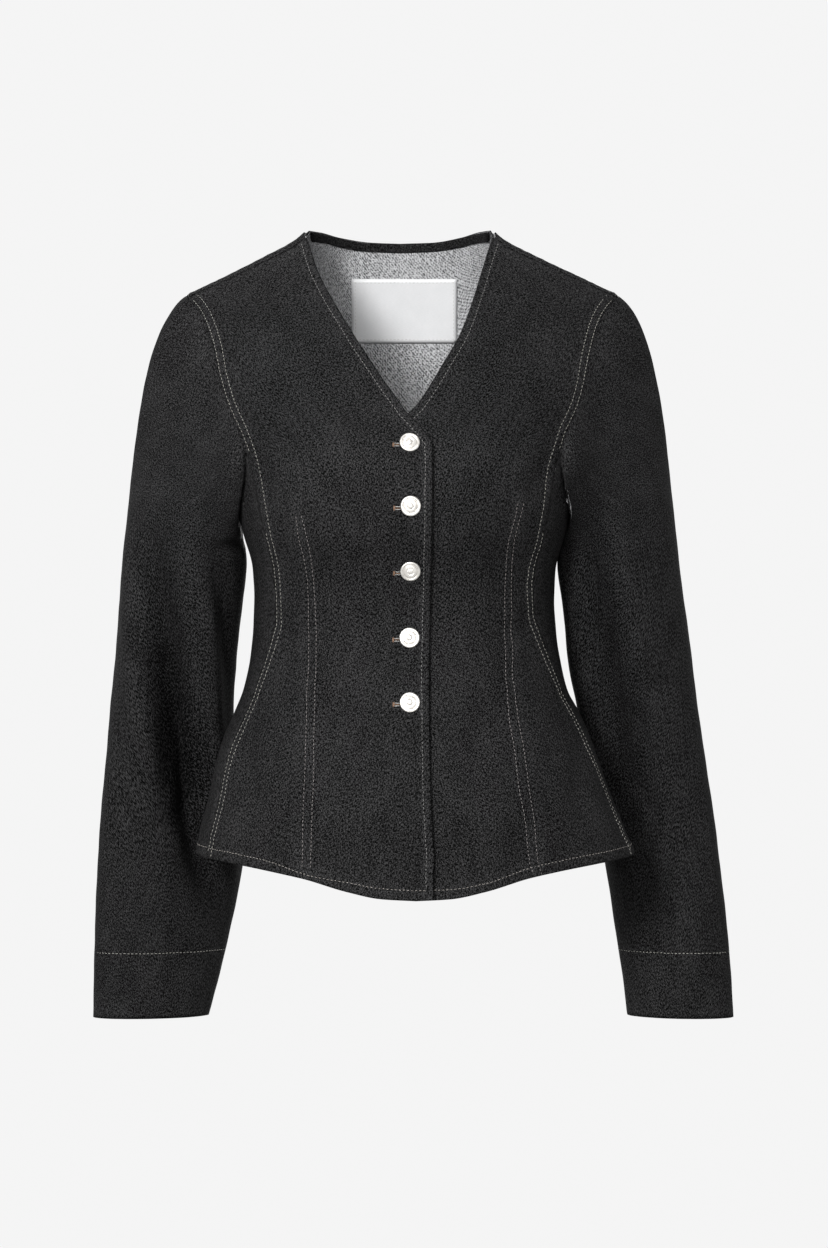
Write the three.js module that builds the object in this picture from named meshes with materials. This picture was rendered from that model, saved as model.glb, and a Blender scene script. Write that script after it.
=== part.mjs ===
import * as THREE from 'three';

// A fitted denim jacket with a flared hem, long sleeves and five buttons.
// It is hollow, filled out as if worn, and held up at the shoulders.
// Millimetres, +Z up. The front faces -Y, the wearer's left is +X, z = 0 is the high shoulder point.

// Driving dimensions
const WALL = 1.5;
const SEAM_GAP = 0.3;
const ARMHOLE_GAP = 0.4;
const TRIM_WALL = 1;
const NECK_POINT_X = 83;
const TIP_X = 187.5;
const SHOULDER_DROP = 51;
const NECK_RISE = 1;
const NECK_BLEND = 6;
const FRONT_ROLL = 150;
const BACK_ROLL = 90;
const SECTION_POWER = 0.85;
const NECK_SEAM_DROP = 6;
const TIP_SEAM_DROP = 3;
const JUNCTION_Z = -172;
const UNDERARM_Z = -237;
const UNDERARM_END_Z = -260;
const HEM_START_Z = -490;
const HEM_NOMINAL_Z = -550;
const UNDER_EDGE_X = -17;
const UNDER_FULL_X = 23.5;
const UNDER_NONE_X = 52;
const UNDER_FULL_Z = -150;
const UNDER_NONE_Z = -95;
const TIP_INSET = 1;
const SLEEVE_JOIN_Z = -290;
const CUFF_Z = -684.5;
const BINDING_SHARE = 0.43;
const BINDING_ROWS = 3;
const BUTTON_RADIUS = 8.75;
const BUTTON_STEM_RADIUS = 3.2;
const BUTTON_LIFT = 0.3;

// Rows of quads in each stretch
const FRONT_COLUMNS = 9;
const SIDE_COLUMNS = 8;
const UNDERARM_POWER = 0.42;
const HEM_STEPS = 3;
const BACK_RISE_STEPS = 8;
const BUTTON_SIDES = 16;

// Horizontal sections of the body: half width, front and back depth, and sideways lean.
const BODY_SECTIONS = [
  { z: 12, half: 238, front: 30, back: 58, lean: -6.5 },
  { z: -52, half: 228, front: 58, back: 84, lean: -4.2 },
  { z: -100, half: 206, front: 82, back: 100, lean: -3.6 },
  { z: -150, half: 180, front: 102, back: 110, lean: -3.2 },
  { z: -172, half: 170, front: 110, back: 112, lean: -3 },
  { z: -200, half: 158, front: 121, back: 113, lean: -2.7 },
  { z: -237, half: 146, front: 127, back: 110, lean: -2.5 },
  { z: -262, half: 139, front: 123, back: 103, lean: -2.4 },
  { z: -290, half: 131.5, front: 111, back: 96, lean: -2.2 },
  { z: -316, half: 130, front: 104, back: 93, lean: -2.2 },
  { z: -342, half: 131.4, front: 101, back: 95, lean: -2 },
  { z: -368, half: 135, front: 103, back: 99, lean: -1.7 },
  { z: -394, half: 141, front: 107, back: 105, lean: -1.7 },
  { z: -414, half: 150, front: 110, back: 110, lean: -0.3 },
  { z: -434, half: 159, front: 113, back: 114, lean: 0 },
  { z: -461, half: 168, front: 117, back: 118, lean: 0.9 },
  { z: -490, half: 176, front: 121, back: 121, lean: 3 },
  { z: -516, half: 184.5, front: 125, back: 122, lean: 4.9 },
  { z: -536, half: 189.5, front: 128, back: 123, lean: 7.4 },
  { z: -575, half: 194, front: 131, back: 124, lean: 8 },
];

// Long seams, as shares of the half width: side front on each side, and side back.
const LONG_SEAMS = [
  { z: -172, right: 0.82, left: 0.82, back: 0.853 },
  { z: -213, right: 0.83, left: 0.83, back: 0.845 },
  { z: -243, right: 0.845, left: 0.85, back: 0.83 },
  { z: -268, right: 0.85, left: 0.86, back: 0.81 },
  { z: -302, right: 0.853, left: 0.845, back: 0.8 },
  { z: -333, right: 0.849, left: 0.863, back: 0.8 },
  { z: -362, right: 0.88, left: 0.913, back: 0.805 },
  { z: -391, right: 0.911, left: 0.955, back: 0.81 },
  { z: -444, right: 0.928, left: 0.97, back: 0.82 },
  { z: -490, right: 0.933, left: 0.985, back: 0.83 },
  { z: -560, right: 0.947, left: 0.985, back: 0.84 },
];

// Armhole seam: distance from the body's own centre, at each height, in front and behind.
const ARMHOLE = [
  { z: -51, front: 187.5, back: 187.5 },
  { z: -54, front: 186, back: 186 },
  { z: -61, front: 179.5, back: 180 },
  { z: -72, front: 172.5, back: 172 },
  { z: -87, front: 166.5, back: 164 },
  { z: -105, front: 161.5, back: 157 },
  { z: -126, front: 157, back: 151 },
  { z: -148, front: 150.5, back: 147 },
  { z: -172, front: 139.5, back: 145 },
];

// Neck and front edges: x of the front that lies on top, and of the one under it.
const FRONT_EDGES = [
  { z: 0, over: -87, under: 74.5 },
  { z: -31.5, over: -77, under: 64.7 },
  { z: -46, over: -70.3, under: 60.5 },
  { z: -89, over: -45.8, under: 45.5 },
  { z: -118, over: -27.5, under: 29 },
  { z: -129, over: -20.1, under: 22.5 },
  { z: -151, over: -4.8, under: 7.8 },
  { z: -157.6, over: -0.2, under: 1 },
  { z: -164, over: 6.4, under: -6 },
  { z: -178, over: 17.9, under: -15 },
  { z: -184, over: 21.7, under: UNDER_EDGE_X },
  { z: -208, over: 22.1, under: UNDER_EDGE_X },
  { z: -300, over: 20.8, under: UNDER_EDGE_X },
  { z: -380, over: 19.2, under: UNDER_EDGE_X },
  { z: -452, over: 19.8, under: UNDER_EDGE_X },
  { z: -511, over: 21.5, under: UNDER_EDGE_X },
  { z: -569, over: 23, under: UNDER_EDGE_X },
];

// Height of the hem, by share of the half width in front, and by the same share behind.
const HEM = [
  { share: 0, front: -569, back: -545 },
  { share: 0.15, front: -567.5, back: -545 },
  { share: 0.3, front: -561.8, back: -544 },
  { share: 0.5, front: -551, back: -542 },
  { share: 0.65, front: -545.5, back: -540 },
  { share: 0.8, front: -541, back: -538.5 },
  { share: 1, front: -536, back: -536 },
];

// Height of the back neck edge, by distance from the centre.
const BACK_NECK = [
  { x: 0, z: 0 },
  { x: 28, z: 1 },
  { x: 54, z: 4.2 },
  { x: 71, z: 7 },
  { x: 78, z: 7 },
  { x: 83, z: 4.2 },
];

// Shares of the width at which the back has its columns.
const BACK_COLUMNS = [0, 0.12, 0.23, 0.32, 0.38, 0.418, 0.4427, 0.54, 0.64, 0.74, 0.84, 0.93, 1];

// Heights of the rows that all body panels share below the armhole.
const SIDE_RISE_ROWS = [-172, -187, -203, -220, -240, -260];
const WAIST_ROWS = [-276, -292, -310, -328, -347, -367, -387, -405, -422, -441, -465, -490];

// Heights of the front's rows along the armhole.
const ARMHOLE_ROWS = [-60, -70, -83, -98, -115, -132, -152];

// Sections of the sleeve on the wearer's right: outer and inner edge, centre depth, half thickness, turn.
const SLEEVE_RIGHT = [
  { z: -290, outer: 249, inner: 140.6, back: 22, thick: 48, turn: 4 },
  { z: -330, outer: 252.8, inner: 145.5, back: 29, thick: 47, turn: 8 },
  { z: -370, outer: 256.6, inner: 150.4, back: 37, thick: 45, turn: 14 },
  { z: -410, outer: 261.1, inner: 153.5, back: 47, thick: 43, turn: 21 },
  { z: -450, outer: 264.8, inner: 151.5, back: 57, thick: 41, turn: 28 },
  { z: -490, outer: 268.4, inner: 146.7, back: 66, thick: 39, turn: 33 },
  { z: -530, outer: 271.7, inner: 144.4, back: 73, thick: 38, turn: 35 },
  { z: -570, outer: 274.5, inner: 149.8, back: 77, thick: 37, turn: 33 },
  { z: -610, outer: 276, inner: 158.5, back: 78, thick: 36, turn: 29 },
  { z: -650, outer: 277.7, inner: 167.6, back: 77, thick: 34, turn: 24 },
  { z: -684.5, outer: 277.9, inner: 176.7, back: 75, thick: 32, turn: 20 },
];

// Sections of the sleeve on the wearer's left.
const SLEEVE_LEFT = [
  { z: -290, outer: 239.3, inner: 133.6, back: 22, thick: 48, turn: 4 },
  { z: -330, outer: 244.7, inner: 140, back: 29, thick: 47, turn: 8 },
  { z: -370, outer: 250.3, inner: 143.3, back: 37, thick: 45, turn: 14 },
  { z: -410, outer: 255.9, inner: 151.2, back: 47, thick: 43, turn: 21 },
  { z: -450, outer: 262.4, inner: 158.4, back: 57, thick: 41, turn: 28 },
  { z: -490, outer: 268.2, inner: 166, back: 66, thick: 39, turn: 33 },
  { z: -530, outer: 274.1, inner: 172.6, back: 73, thick: 38, turn: 35 },
  { z: -570, outer: 279.6, inner: 179.8, back: 77, thick: 37, turn: 33 },
  { z: -610, outer: 283.8, inner: 185.9, back: 78, thick: 36, turn: 29 },
  { z: -650, outer: 287.4, inner: 191.8, back: 77, thick: 34, turn: 24 },
  { z: -684.5, outer: 289.2, inner: 196, back: 75, thick: 32, turn: 20 },
];

// Soft folds of the body: turn from the centre front in degrees, height, spread, length and depth.
const BODY_FOLDS = [
  { turn: -34, z: -575, spread: 7, length: 70, depth: 4.5 },
  { turn: 40, z: -580, spread: 9, length: 80, depth: -3 },
  { turn: -145, z: -570, spread: 9, length: 90, depth: 4.5 },
  { turn: 122, z: -575, spread: 12, length: 90, depth: 6.5 },
  { turn: -158, z: -575, spread: 12, length: 80, depth: -4 },
  { turn: 160, z: -570, spread: 14, length: 100, depth: 5 },
];

// Soft folds of the sleeves: angle round the sleeve, its change with height, place, spread, length and depth.
const SLEEVE_FOLDS = [
  { side: 'right', angle: 62, slant: 0.16, z: -480, spread: 17, length: 75, depth: -5 },
  { side: 'right', angle: 95, slant: -0.1, z: -360, spread: 19, length: 60, depth: 3 },
  { side: 'right', angle: 250, slant: 0.12, z: -430, spread: 20, length: 70, depth: -5 },
  { side: 'right', angle: 300, slant: -0.08, z: -560, spread: 18, length: 60, depth: -3.5 },
  { side: 'left', angle: 70, slant: -0.12, z: -455, spread: 18, length: 70, depth: -4 },
  { side: 'left', angle: 240, slant: -0.14, z: -415, spread: 19, length: 75, depth: -5.5 },
  { side: 'left', angle: 285, slant: 0.1, z: -540, spread: 18, length: 65, depth: -3.5 },
];

// Steps of the sleeve head, as shares of the way from the armhole to the upper arm.
const SLEEVE_HEAD_STEPS = [0, 0.07, 0.16, 0.27, 0.4, 0.54, 0.7, 0.85, 1];
const SLEEVE_TUBE_STEP = 30;
const SLEEVE_START_PULL = 0.2;
const SLEEVE_END_PULL = 0.42;
const TIP_BEND = -10;
const UNDERARM_BEND = 158;
const BEND_START_Z = -140;
const BEND_FULL_Z = -228;

// Button places along the front.
const BUTTONS = [
  { x: 2.5, z: -185.8 },
  { x: 3.3, z: -239.5 },
  { x: 3.1, z: -294 },
  { x: 2.3, z: -350.1 },
  { x: 2.6, z: -404.6 },
];

// Button profile from the stem up to the boss: radius and height.
const BUTTON_PROFILE = [
  { radius: 0, height: 0 },
  { radius: BUTTON_STEM_RADIUS, height: 0 },
  { radius: BUTTON_STEM_RADIUS, height: 1.2 },
  { radius: 8, height: 1.2 },
  { radius: BUTTON_RADIUS, height: 2 },
  { radius: 8.1, height: 3 },
  { radius: 7, height: 2.7 },
  { radius: 6, height: 3.5 },
  { radius: 3.4, height: 4 },
  { radius: 2.4, height: 4.4 },
  { radius: 0, height: 4.8 },
];

// Label on the inside of the back.
const LABEL = { left: -49.5, right: 44.5, top: -29.5, bottom: -85.5, columns: 8, rows: 4 };

// Small steps for reading slopes, in millimetres and radians
const SLOPE_STEP = 0.05;
const TURN_STEP = 0.01;
const SECTION_STEP = 10;

const mix = THREE.MathUtils.lerp;
const smooth = THREE.MathUtils.smoothstep;
const radians = THREE.MathUtils.degToRad;

// A smooth curve through one column of a table, without overshoot.
function profile(rows, input, output) {
  const sorted = [...rows].sort((a, b) => a[input] - b[input]);
  const at = sorted.map((row) => row[input]);
  const value = sorted.map((row) => row[output]);
  const slope = at.slice(1).map((end, i) => (value[i + 1] - value[i]) / (end - at[i]));
  const tangent = at.map((unused, i) => {
    if (i === 0) return slope[0];
    if (i === slope.length) return slope[i - 1];
    const product = slope[i - 1] * slope[i];
    return product > 0 ? (2 * product) / (slope[i - 1] + slope[i]) : 0;
  });
  return (wanted) => {
    const x = THREE.MathUtils.clamp(wanted, at[0], at[at.length - 1]);
    let i = 0;
    while (i < at.length - 2 && x > at[i + 1]) i += 1;
    const width = at[i + 1] - at[i];
    const t = (x - at[i]) / width;
    const start = (1 + 2 * t) * (1 - t) ** 2 * value[i] + t * (1 - t) ** 2 * width * tangent[i];
    const end = t * t * (3 - 2 * t) * value[i + 1] - t * t * (1 - t) * width * tangent[i + 1];
    return start + end;
  };
}

const halfWidth = profile(BODY_SECTIONS, 'z', 'half');
const frontDepth = profile(BODY_SECTIONS, 'z', 'front');
const backDepth = profile(BODY_SECTIONS, 'z', 'back');
const lean = profile(BODY_SECTIONS, 'z', 'lean');
const frontArmhole = profile(ARMHOLE, 'z', 'front');
const backArmhole = profile(ARMHOLE, 'z', 'back');
const overEdge = profile(FRONT_EDGES, 'z', 'over');
const underEdge = profile(FRONT_EDGES, 'z', 'under');
const frontHem = profile(HEM, 'share', 'front');
const backHem = profile(HEM, 'share', 'back');
const backNeck = profile(BACK_NECK, 'x', 'z');
const sideFrontShare = { right: profile(LONG_SEAMS, 'z', 'right'), left: profile(LONG_SEAMS, 'z', 'left') };
const sideBackShare = profile(LONG_SEAMS, 'z', 'back');

// Height of the shoulder line above the body, by distance from the body's own centre.
function shoulderLine(distance) {
  const inside = NECK_POINT_X - distance;
  const rise = NECK_RISE * NECK_BLEND * Math.log(1 + Math.exp(inside / NECK_BLEND));
  return (SHOULDER_DROP * inside) / (TIP_X - NECK_POINT_X) + rise;
}

// Height of the soft folds at an angle and height: each fades out along and across its line.
function foldHeight(folds, angleOf, degrees, z) {
  return folds.reduce((sum, fold) => {
    const line = fold[angleOf] + (fold.slant ?? 0) * (z - fold.z);
    const off = THREE.MathUtils.euclideanModulo(degrees - line + 180, 360) - 180;
    const across = Math.exp(-((off / fold.spread) ** 2));
    return sum + fold.depth * across * Math.exp(-(((z - fold.z) / fold.length) ** 2));
  }, 0);
}

// The squared depth of the body at a place, which falls to nothing at its sides and shoulder line.
function squaredDepth(x, z, behind) {
  const own = Math.abs(x - lean(z));
  const share = Math.min(own / halfWidth(z), 1);
  const depth = behind ? backDepth(z) : frontDepth(z);
  const roll = behind ? BACK_ROLL : FRONT_ROLL;
  const below = THREE.MathUtils.clamp((shoulderLine(own) - z) / roll, 0, 1);
  return depth ** 2 * (1 - share ** 2) ** SECTION_POWER * (2 * below - below ** 2);
}

// A point of the body's outer face with the direction that faces out, by x, z and side.
function bodyByX(x, z, behind) {
  const y = Math.sqrt(squaredDepth(x, z, behind)) * (behind ? 1 : -1);
  const step = SLOPE_STEP;
  const own = x - lean(z);
  const inward = Math.abs(own) > halfWidth(z) - 2 * step ? Math.sign(own) * step : 0;
  const rise = (x1, z1) => squaredDepth(x1, z1, behind);
  const alongX = (rise(x - inward + step, z) - rise(x - inward - step, z)) / (2 * step);
  const alongZ = (rise(x - inward, z + step) - rise(x - inward, z - step)) / (2 * step);
  const normal = new THREE.Vector3(-alongX, 2 * y, -alongZ).normalize();
  const share = THREE.MathUtils.clamp(own / halfWidth(z), -1, 1);
  const turn = THREE.MathUtils.radToDeg(Math.asin(share));
  const degrees = behind ? 180 - turn : turn;
  const point = new THREE.Vector3(x, y, z);
  point.addScaledVector(normal, foldHeight(BODY_FOLDS, 'turn', degrees, z));
  return { point, normal };
}

// The same by turn about the body: 0 at the centre front, a half circle at the centre back.
function bodyByTurn(turn, z) {
  return bodyByX(lean(z) + halfWidth(z) * Math.sin(turn), z, Math.cos(turn) < 0);
}

// How far a point moves for each radian of turn.
function reach(turn, z) {
  const step = TURN_STEP;
  return bodyByTurn(turn + step, z).point.distanceTo(bodyByTurn(turn - step, z).point) / (2 * step);
}

// A closed wall from rows of outer points with their directions, as a sheet or closed round.
function wall(rows, { thickness = WALL, round = false } = {}) {
  const across = rows[0].length;
  const down = rows.length;
  const outer = rows.flat().map(({ point }) => point);
  const inner = rows.flat().map(({ point, normal }) => point.clone().addScaledVector(normal, -thickness));
  const total = outer.length;
  const faces = [];
  const quad = (a, b, c, d) => faces.push([a, b, c], [a, c, d]);
  const spans = round ? across : across - 1;
  for (let r = 0; r < down - 1; r += 1) {
    for (let c = 0; c < spans; c += 1) {
      const next = (c + 1) % across;
      const a = r * across + c;
      const b = r * across + next;
      const e = (r + 1) * across + next;
      const d = (r + 1) * across + c;
      quad(a, b, e, d);
      faces.push([total + a, total + e, total + b], [total + a, total + d, total + e]);
    }
  }
  const rim = (a, b) => quad(b, a, total + a, total + b);
  for (let c = 0; c < spans; c += 1) {
    const next = (c + 1) % across;
    rim(c, next);
    rim((down - 1) * across + next, (down - 1) * across + c);
  }
  for (let r = 0; r < down - 1 && !round; r += 1) {
    rim((r + 1) * across, r * across);
    rim(r * across + across - 1, (r + 1) * across + across - 1);
  }
  const points = outer.concat(inner);
  const middle = Math.floor((down * across) / 2);
  const edgeA = points[middle + 1].clone().sub(points[middle]);
  const edgeB = points[middle + across].clone().sub(points[middle]);
  const facesOut = edgeA.cross(edgeB).dot(rows.flat()[middle].normal) > 0;
  const geometry = new THREE.BufferGeometry();
  geometry.setAttribute('position', new THREE.Float32BufferAttribute(points.flatMap((p) => p.toArray()), 3));
  geometry.setIndex(faces.flatMap(([a, b, c]) => (facesOut ? [a, b, c] : [a, c, b])));
  geometry.computeVertexNormals();
  return geometry;
}

// Height of the forward shoulder seam at a distance from the centre.
function seamHeight(distance) {
  const share = (distance - NECK_POINT_X) / (TIP_X - NECK_POINT_X);
  return shoulderLine(distance) - mix(NECK_SEAM_DROP, TIP_SEAM_DROP, share);
}

// Distance from the centre of each column that meets the shoulder seam.
const SHOULDER_COLUMNS = BACK_COLUMNS
  .map((share) => share * TIP_X)
  .filter((x) => x > NECK_POINT_X - SLOPE_STEP);

// Hem height at a turn about the body.
function hemHeight(turn) {
  const share = Math.abs(Math.sin(turn));
  return Math.cos(turn) < 0 ? backHem(share) : frontHem(share);
}

// Turn of the side front seam on one side, moved by half a gap where a panel needs it.
function sideFrontTurn(z, side, shift = 0) {
  const turn = Math.asin(sideFrontShare[side](z));
  return turn + shift / reach(turn, z);
}

// Turn of the side back seam, moved in the same way.
function sideBackTurn(z, shift = 0) {
  const turn = Math.PI - Math.asin(sideBackShare(z));
  return turn + shift / reach(turn, z);
}

// Heights of the rows below the armhole: the shared rows, then steps down to the hem.
function heightBelow(row, turn) {
  const fixed = [...SIDE_RISE_ROWS, ...WAIST_ROWS];
  if (row < fixed.length) return fixed[row];
  const share = (row - fixed.length + 1) / HEM_STEPS;
  return mix(HEM_START_Z, hemHeight(turn), share);
}

// The height at which a row's seams are read, the same for both panels of a seam.
function nominalHeight(row) {
  const fixed = [...SIDE_RISE_ROWS, ...WAIST_ROWS];
  if (row < fixed.length) return fixed[row];
  return mix(HEM_START_Z, HEM_NOMINAL_Z, (row - fixed.length + 1) / HEM_STEPS);
}

const ROWS_BELOW = SIDE_RISE_ROWS.length + WAIST_ROWS.length + HEM_STEPS;

// How far the under front is set in, so that the other front lies on it.
function underSet(point) {
  const side = 1 - smooth(point.x, UNDER_FULL_X, UNDER_NONE_X);
  const top = 1 - smooth(point.z, UNDER_FULL_Z, UNDER_NONE_Z);
  return (WALL + SEAM_GAP) * side * top;
}

// Rows of places on one front panel, from the shoulder seam down to the hem.
function frontRows(side) {
  const sign = side === 'left' ? 1 : -1;
  const edge = side === 'left' ? underEdge : overEdge;
  const rows = [];
  const addRow = (heightAt, innerX, outerX) => {
    const row = [];
    for (let c = 0; c <= FRONT_COLUMNS; c += 1) {
      row.push(heightAt(mix(innerX, outerX, c / FRONT_COLUMNS)));
    }
    rows.push(row);
  };
  const upperRow = (z, outerDistance) => {
    const start = Math.asin((edge(z) - lean(z)) / halfWidth(z));
    const end = Math.asin((sign * outerDistance) / halfWidth(z));
    addRow((turn) => bodyByTurn(turn, z), start, end);
  };
  for (const distance of SHOULDER_COLUMNS) {
    upperRow(seamHeight(distance) - SEAM_GAP / 2, Math.min(distance, TIP_X - TIP_INSET));
  }
  for (const z of ARMHOLE_ROWS) {
    upperRow(z, frontArmhole(z));
  }
  for (let r = 0; r < ROWS_BELOW; r += 1) {
    const z = nominalHeight(r);
    const start = Math.asin((edge(z) - lean(z)) / halfWidth(z));
    const end = sign * sideFrontTurn(z, side, -SEAM_GAP / 2);
    addRow((turn) => bodyByTurn(turn, heightBelow(r, turn)), start, end);
  }
  if (side === 'left') {
    for (const place of rows.flat()) {
      place.point.addScaledVector(place.normal, -underSet(place.point));
    }
  }
  return rows;
}

// Height of the side panel's top edge, by share of its width.
function sideTop(share) {
  return mix(JUNCTION_Z, UNDERARM_Z, Math.sin(Math.PI * share) ** UNDERARM_POWER);
}

// Share of the side panel's width at a column, closer together near its seams.
function sideShare(column) {
  return (1 - Math.cos((Math.PI * column) / SIDE_COLUMNS)) / 2;
}

// One side panel, from the underarm down to the hem.
function sidePanel(side) {
  const sign = side === 'left' ? 1 : -1;
  const rows = [];
  for (let r = 0; r < ROWS_BELOW; r += 1) {
    const z = nominalHeight(r);
    const start = sideFrontTurn(z, side, SEAM_GAP / 2);
    const end = sideBackTurn(z, -SEAM_GAP / 2);
    const row = [];
    for (let c = 0; c <= SIDE_COLUMNS; c += 1) {
      const share = sideShare(c);
      const turn = mix(start, end, share);
      let height = heightBelow(r, turn);
      if (r < SIDE_RISE_ROWS.length) {
        const fall = (JUNCTION_Z - z) / (JUNCTION_Z - UNDERARM_END_Z);
        height = mix(sideTop(share), UNDERARM_END_Z, fall);
      }
      row.push(bodyByTurn(sign * turn, height));
    }
    rows.push(row);
  }
  return wall(rows);
}

// Signed shares across the back, from one side to the other.
const BACK_SHARES = [...BACK_COLUMNS.slice(1).map((share) => -share).reverse(), ...BACK_COLUMNS];

// One point of the back above the armhole's foot, by share of the width and rise to the shoulder line.
function upperBack(share, rise) {
  const distance = Math.abs(share);
  const outerZ = mix(JUNCTION_Z, -SHOULDER_DROP, rise);
  const own = share * backArmhole(outerZ);
  const ownTop = distance * TIP_X;
  const top = ownTop < NECK_POINT_X - SLOPE_STEP ? backNeck(ownTop) - NECK_SEAM_DROP : shoulderLine(ownTop);
  const z = Math.min(mix(JUNCTION_Z, top, rise), shoulderLine(Math.abs(own)));
  return bodyByX(own + lean(z), z, true);
}

// The last row of the back: its neck edge, and the shoulder seam in front of the shoulder line.
function backEndRow() {
  return BACK_SHARES.map((share) => {
    const own = share * TIP_X;
    const distance = Math.abs(own);
    if (distance < NECK_POINT_X - SLOPE_STEP) {
      const z = backNeck(distance);
      return bodyByX(own + lean(z), z, true);
    }
    const z = seamHeight(distance) + SEAM_GAP / 2;
    const x = Math.sign(own) * Math.min(distance, TIP_X - TIP_INSET);
    return bodyByX(x + lean(z), z, false);
  });
}

// Rows of places on the back panel, from the shoulder seams and neck down to the hem.
function backRows() {
  const rows = [backEndRow()];
  for (let r = BACK_RISE_STEPS; r > 0; r -= 1) {
    const rise = Math.sin((Math.PI / 2) * (r / BACK_RISE_STEPS));
    rows.push(BACK_SHARES.map((share) => upperBack(share, rise)));
  }
  for (let r = 0; r < ROWS_BELOW; r += 1) {
    const z = nominalHeight(r);
    const widest = Math.sin(sideBackTurn(z, SEAM_GAP / 2));
    rows.push(BACK_SHARES.map((share) => {
      const turn = Math.PI - Math.asin(share * widest);
      return bodyByTurn(turn, heightBelow(r, turn));
    }));
  }
  return rows;
}

// The place on a panel's facets at x and z, sunk into the panel by a depth along its directions.
function placeOn(rows, x, z, depth = 0) {
  const sunk = ({ point, normal }) => point.clone().addScaledVector(normal, -depth);
  for (let r = 0; r < rows.length - 1; r += 1) {
    for (let c = 0; c < rows[r].length - 1; c += 1) {
      const corners = [rows[r][c], rows[r][c + 1], rows[r + 1][c + 1], rows[r + 1][c]];
      for (const [a, b, e] of [[0, 1, 2], [0, 2, 3]]) {
        const [p, q, s] = [corners[a], corners[b], corners[e]].map(sunk);
        const area = (q.x - p.x) * (s.z - p.z) - (s.x - p.x) * (q.z - p.z);
        const shareQ = ((x - p.x) * (s.z - p.z) - (s.x - p.x) * (z - p.z)) / area;
        const shareS = ((q.x - p.x) * (z - p.z) - (x - p.x) * (q.z - p.z)) / area;
        if (shareQ >= 0 && shareS >= 0 && shareQ + shareS <= 1) {
          const point = p.clone().addScaledVector(q.sub(p), shareQ).addScaledVector(s.sub(p), shareS);
          const normal = corners[a].normal.clone().multiplyScalar(1 - shareQ - shareS)
            .addScaledVector(corners[b].normal, shareQ)
            .addScaledVector(corners[e].normal, shareS)
            .normalize();
          return { point, normal };
        }
      }
    }
  }
  throw new Error(`no place on the panel at ${x}, ${z}`);
}

// Places round one armhole: down the front from the shoulder seam, under the arm and up the back.
function armholeRing(side) {
  const sign = side === 'left' ? 1 : -1;
  const ring = [];
  const tipZ = seamHeight(TIP_X);
  ring.push(bodyByX(sign * (TIP_X - TIP_INSET) + lean(tipZ), tipZ, false));
  for (const z of ARMHOLE_ROWS) {
    ring.push(bodyByX(sign * frontArmhole(z) + lean(z), z, false));
  }
  for (let c = 0; c <= SIDE_COLUMNS; c += 1) {
    const share = sideShare(c);
    const turn = mix(sideFrontTurn(JUNCTION_Z, side), sideBackTurn(JUNCTION_Z), share);
    ring.push(bodyByTurn(sign * turn, sideTop(share)));
  }
  for (let r = 1; r <= BACK_RISE_STEPS; r += 1) {
    ring.push(upperBack(sign, Math.sin((Math.PI / 2) * (r / BACK_RISE_STEPS))));
  }
  return ring;
}

// A point of a sleeve's horizontal section: 0 degrees is outside, 90 in front and 180 by the body.
function sleeveSection(table, sign, z, angle) {
  const outer = profile(table, 'z', 'outer')(z);
  const inner = profile(table, 'z', 'inner')(z);
  const thick = profile(table, 'z', 'thick')(z);
  const turn = radians(profile(table, 'z', 'turn')(z));
  const half = (outer - inner) / 2;
  const wide = Math.sqrt(half ** 2 - (thick * Math.sin(turn)) ** 2) / Math.cos(turn);
  const along = wide * Math.cos(angle);
  const forward = thick * Math.sin(angle);
  const x = (outer + inner) / 2 + along * Math.cos(turn) - forward * Math.sin(turn);
  const y = profile(table, 'z', 'back')(z) - along * Math.sin(turn) - forward * Math.cos(turn);
  return new THREE.Vector3(sign * x, y, z);
}

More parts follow.
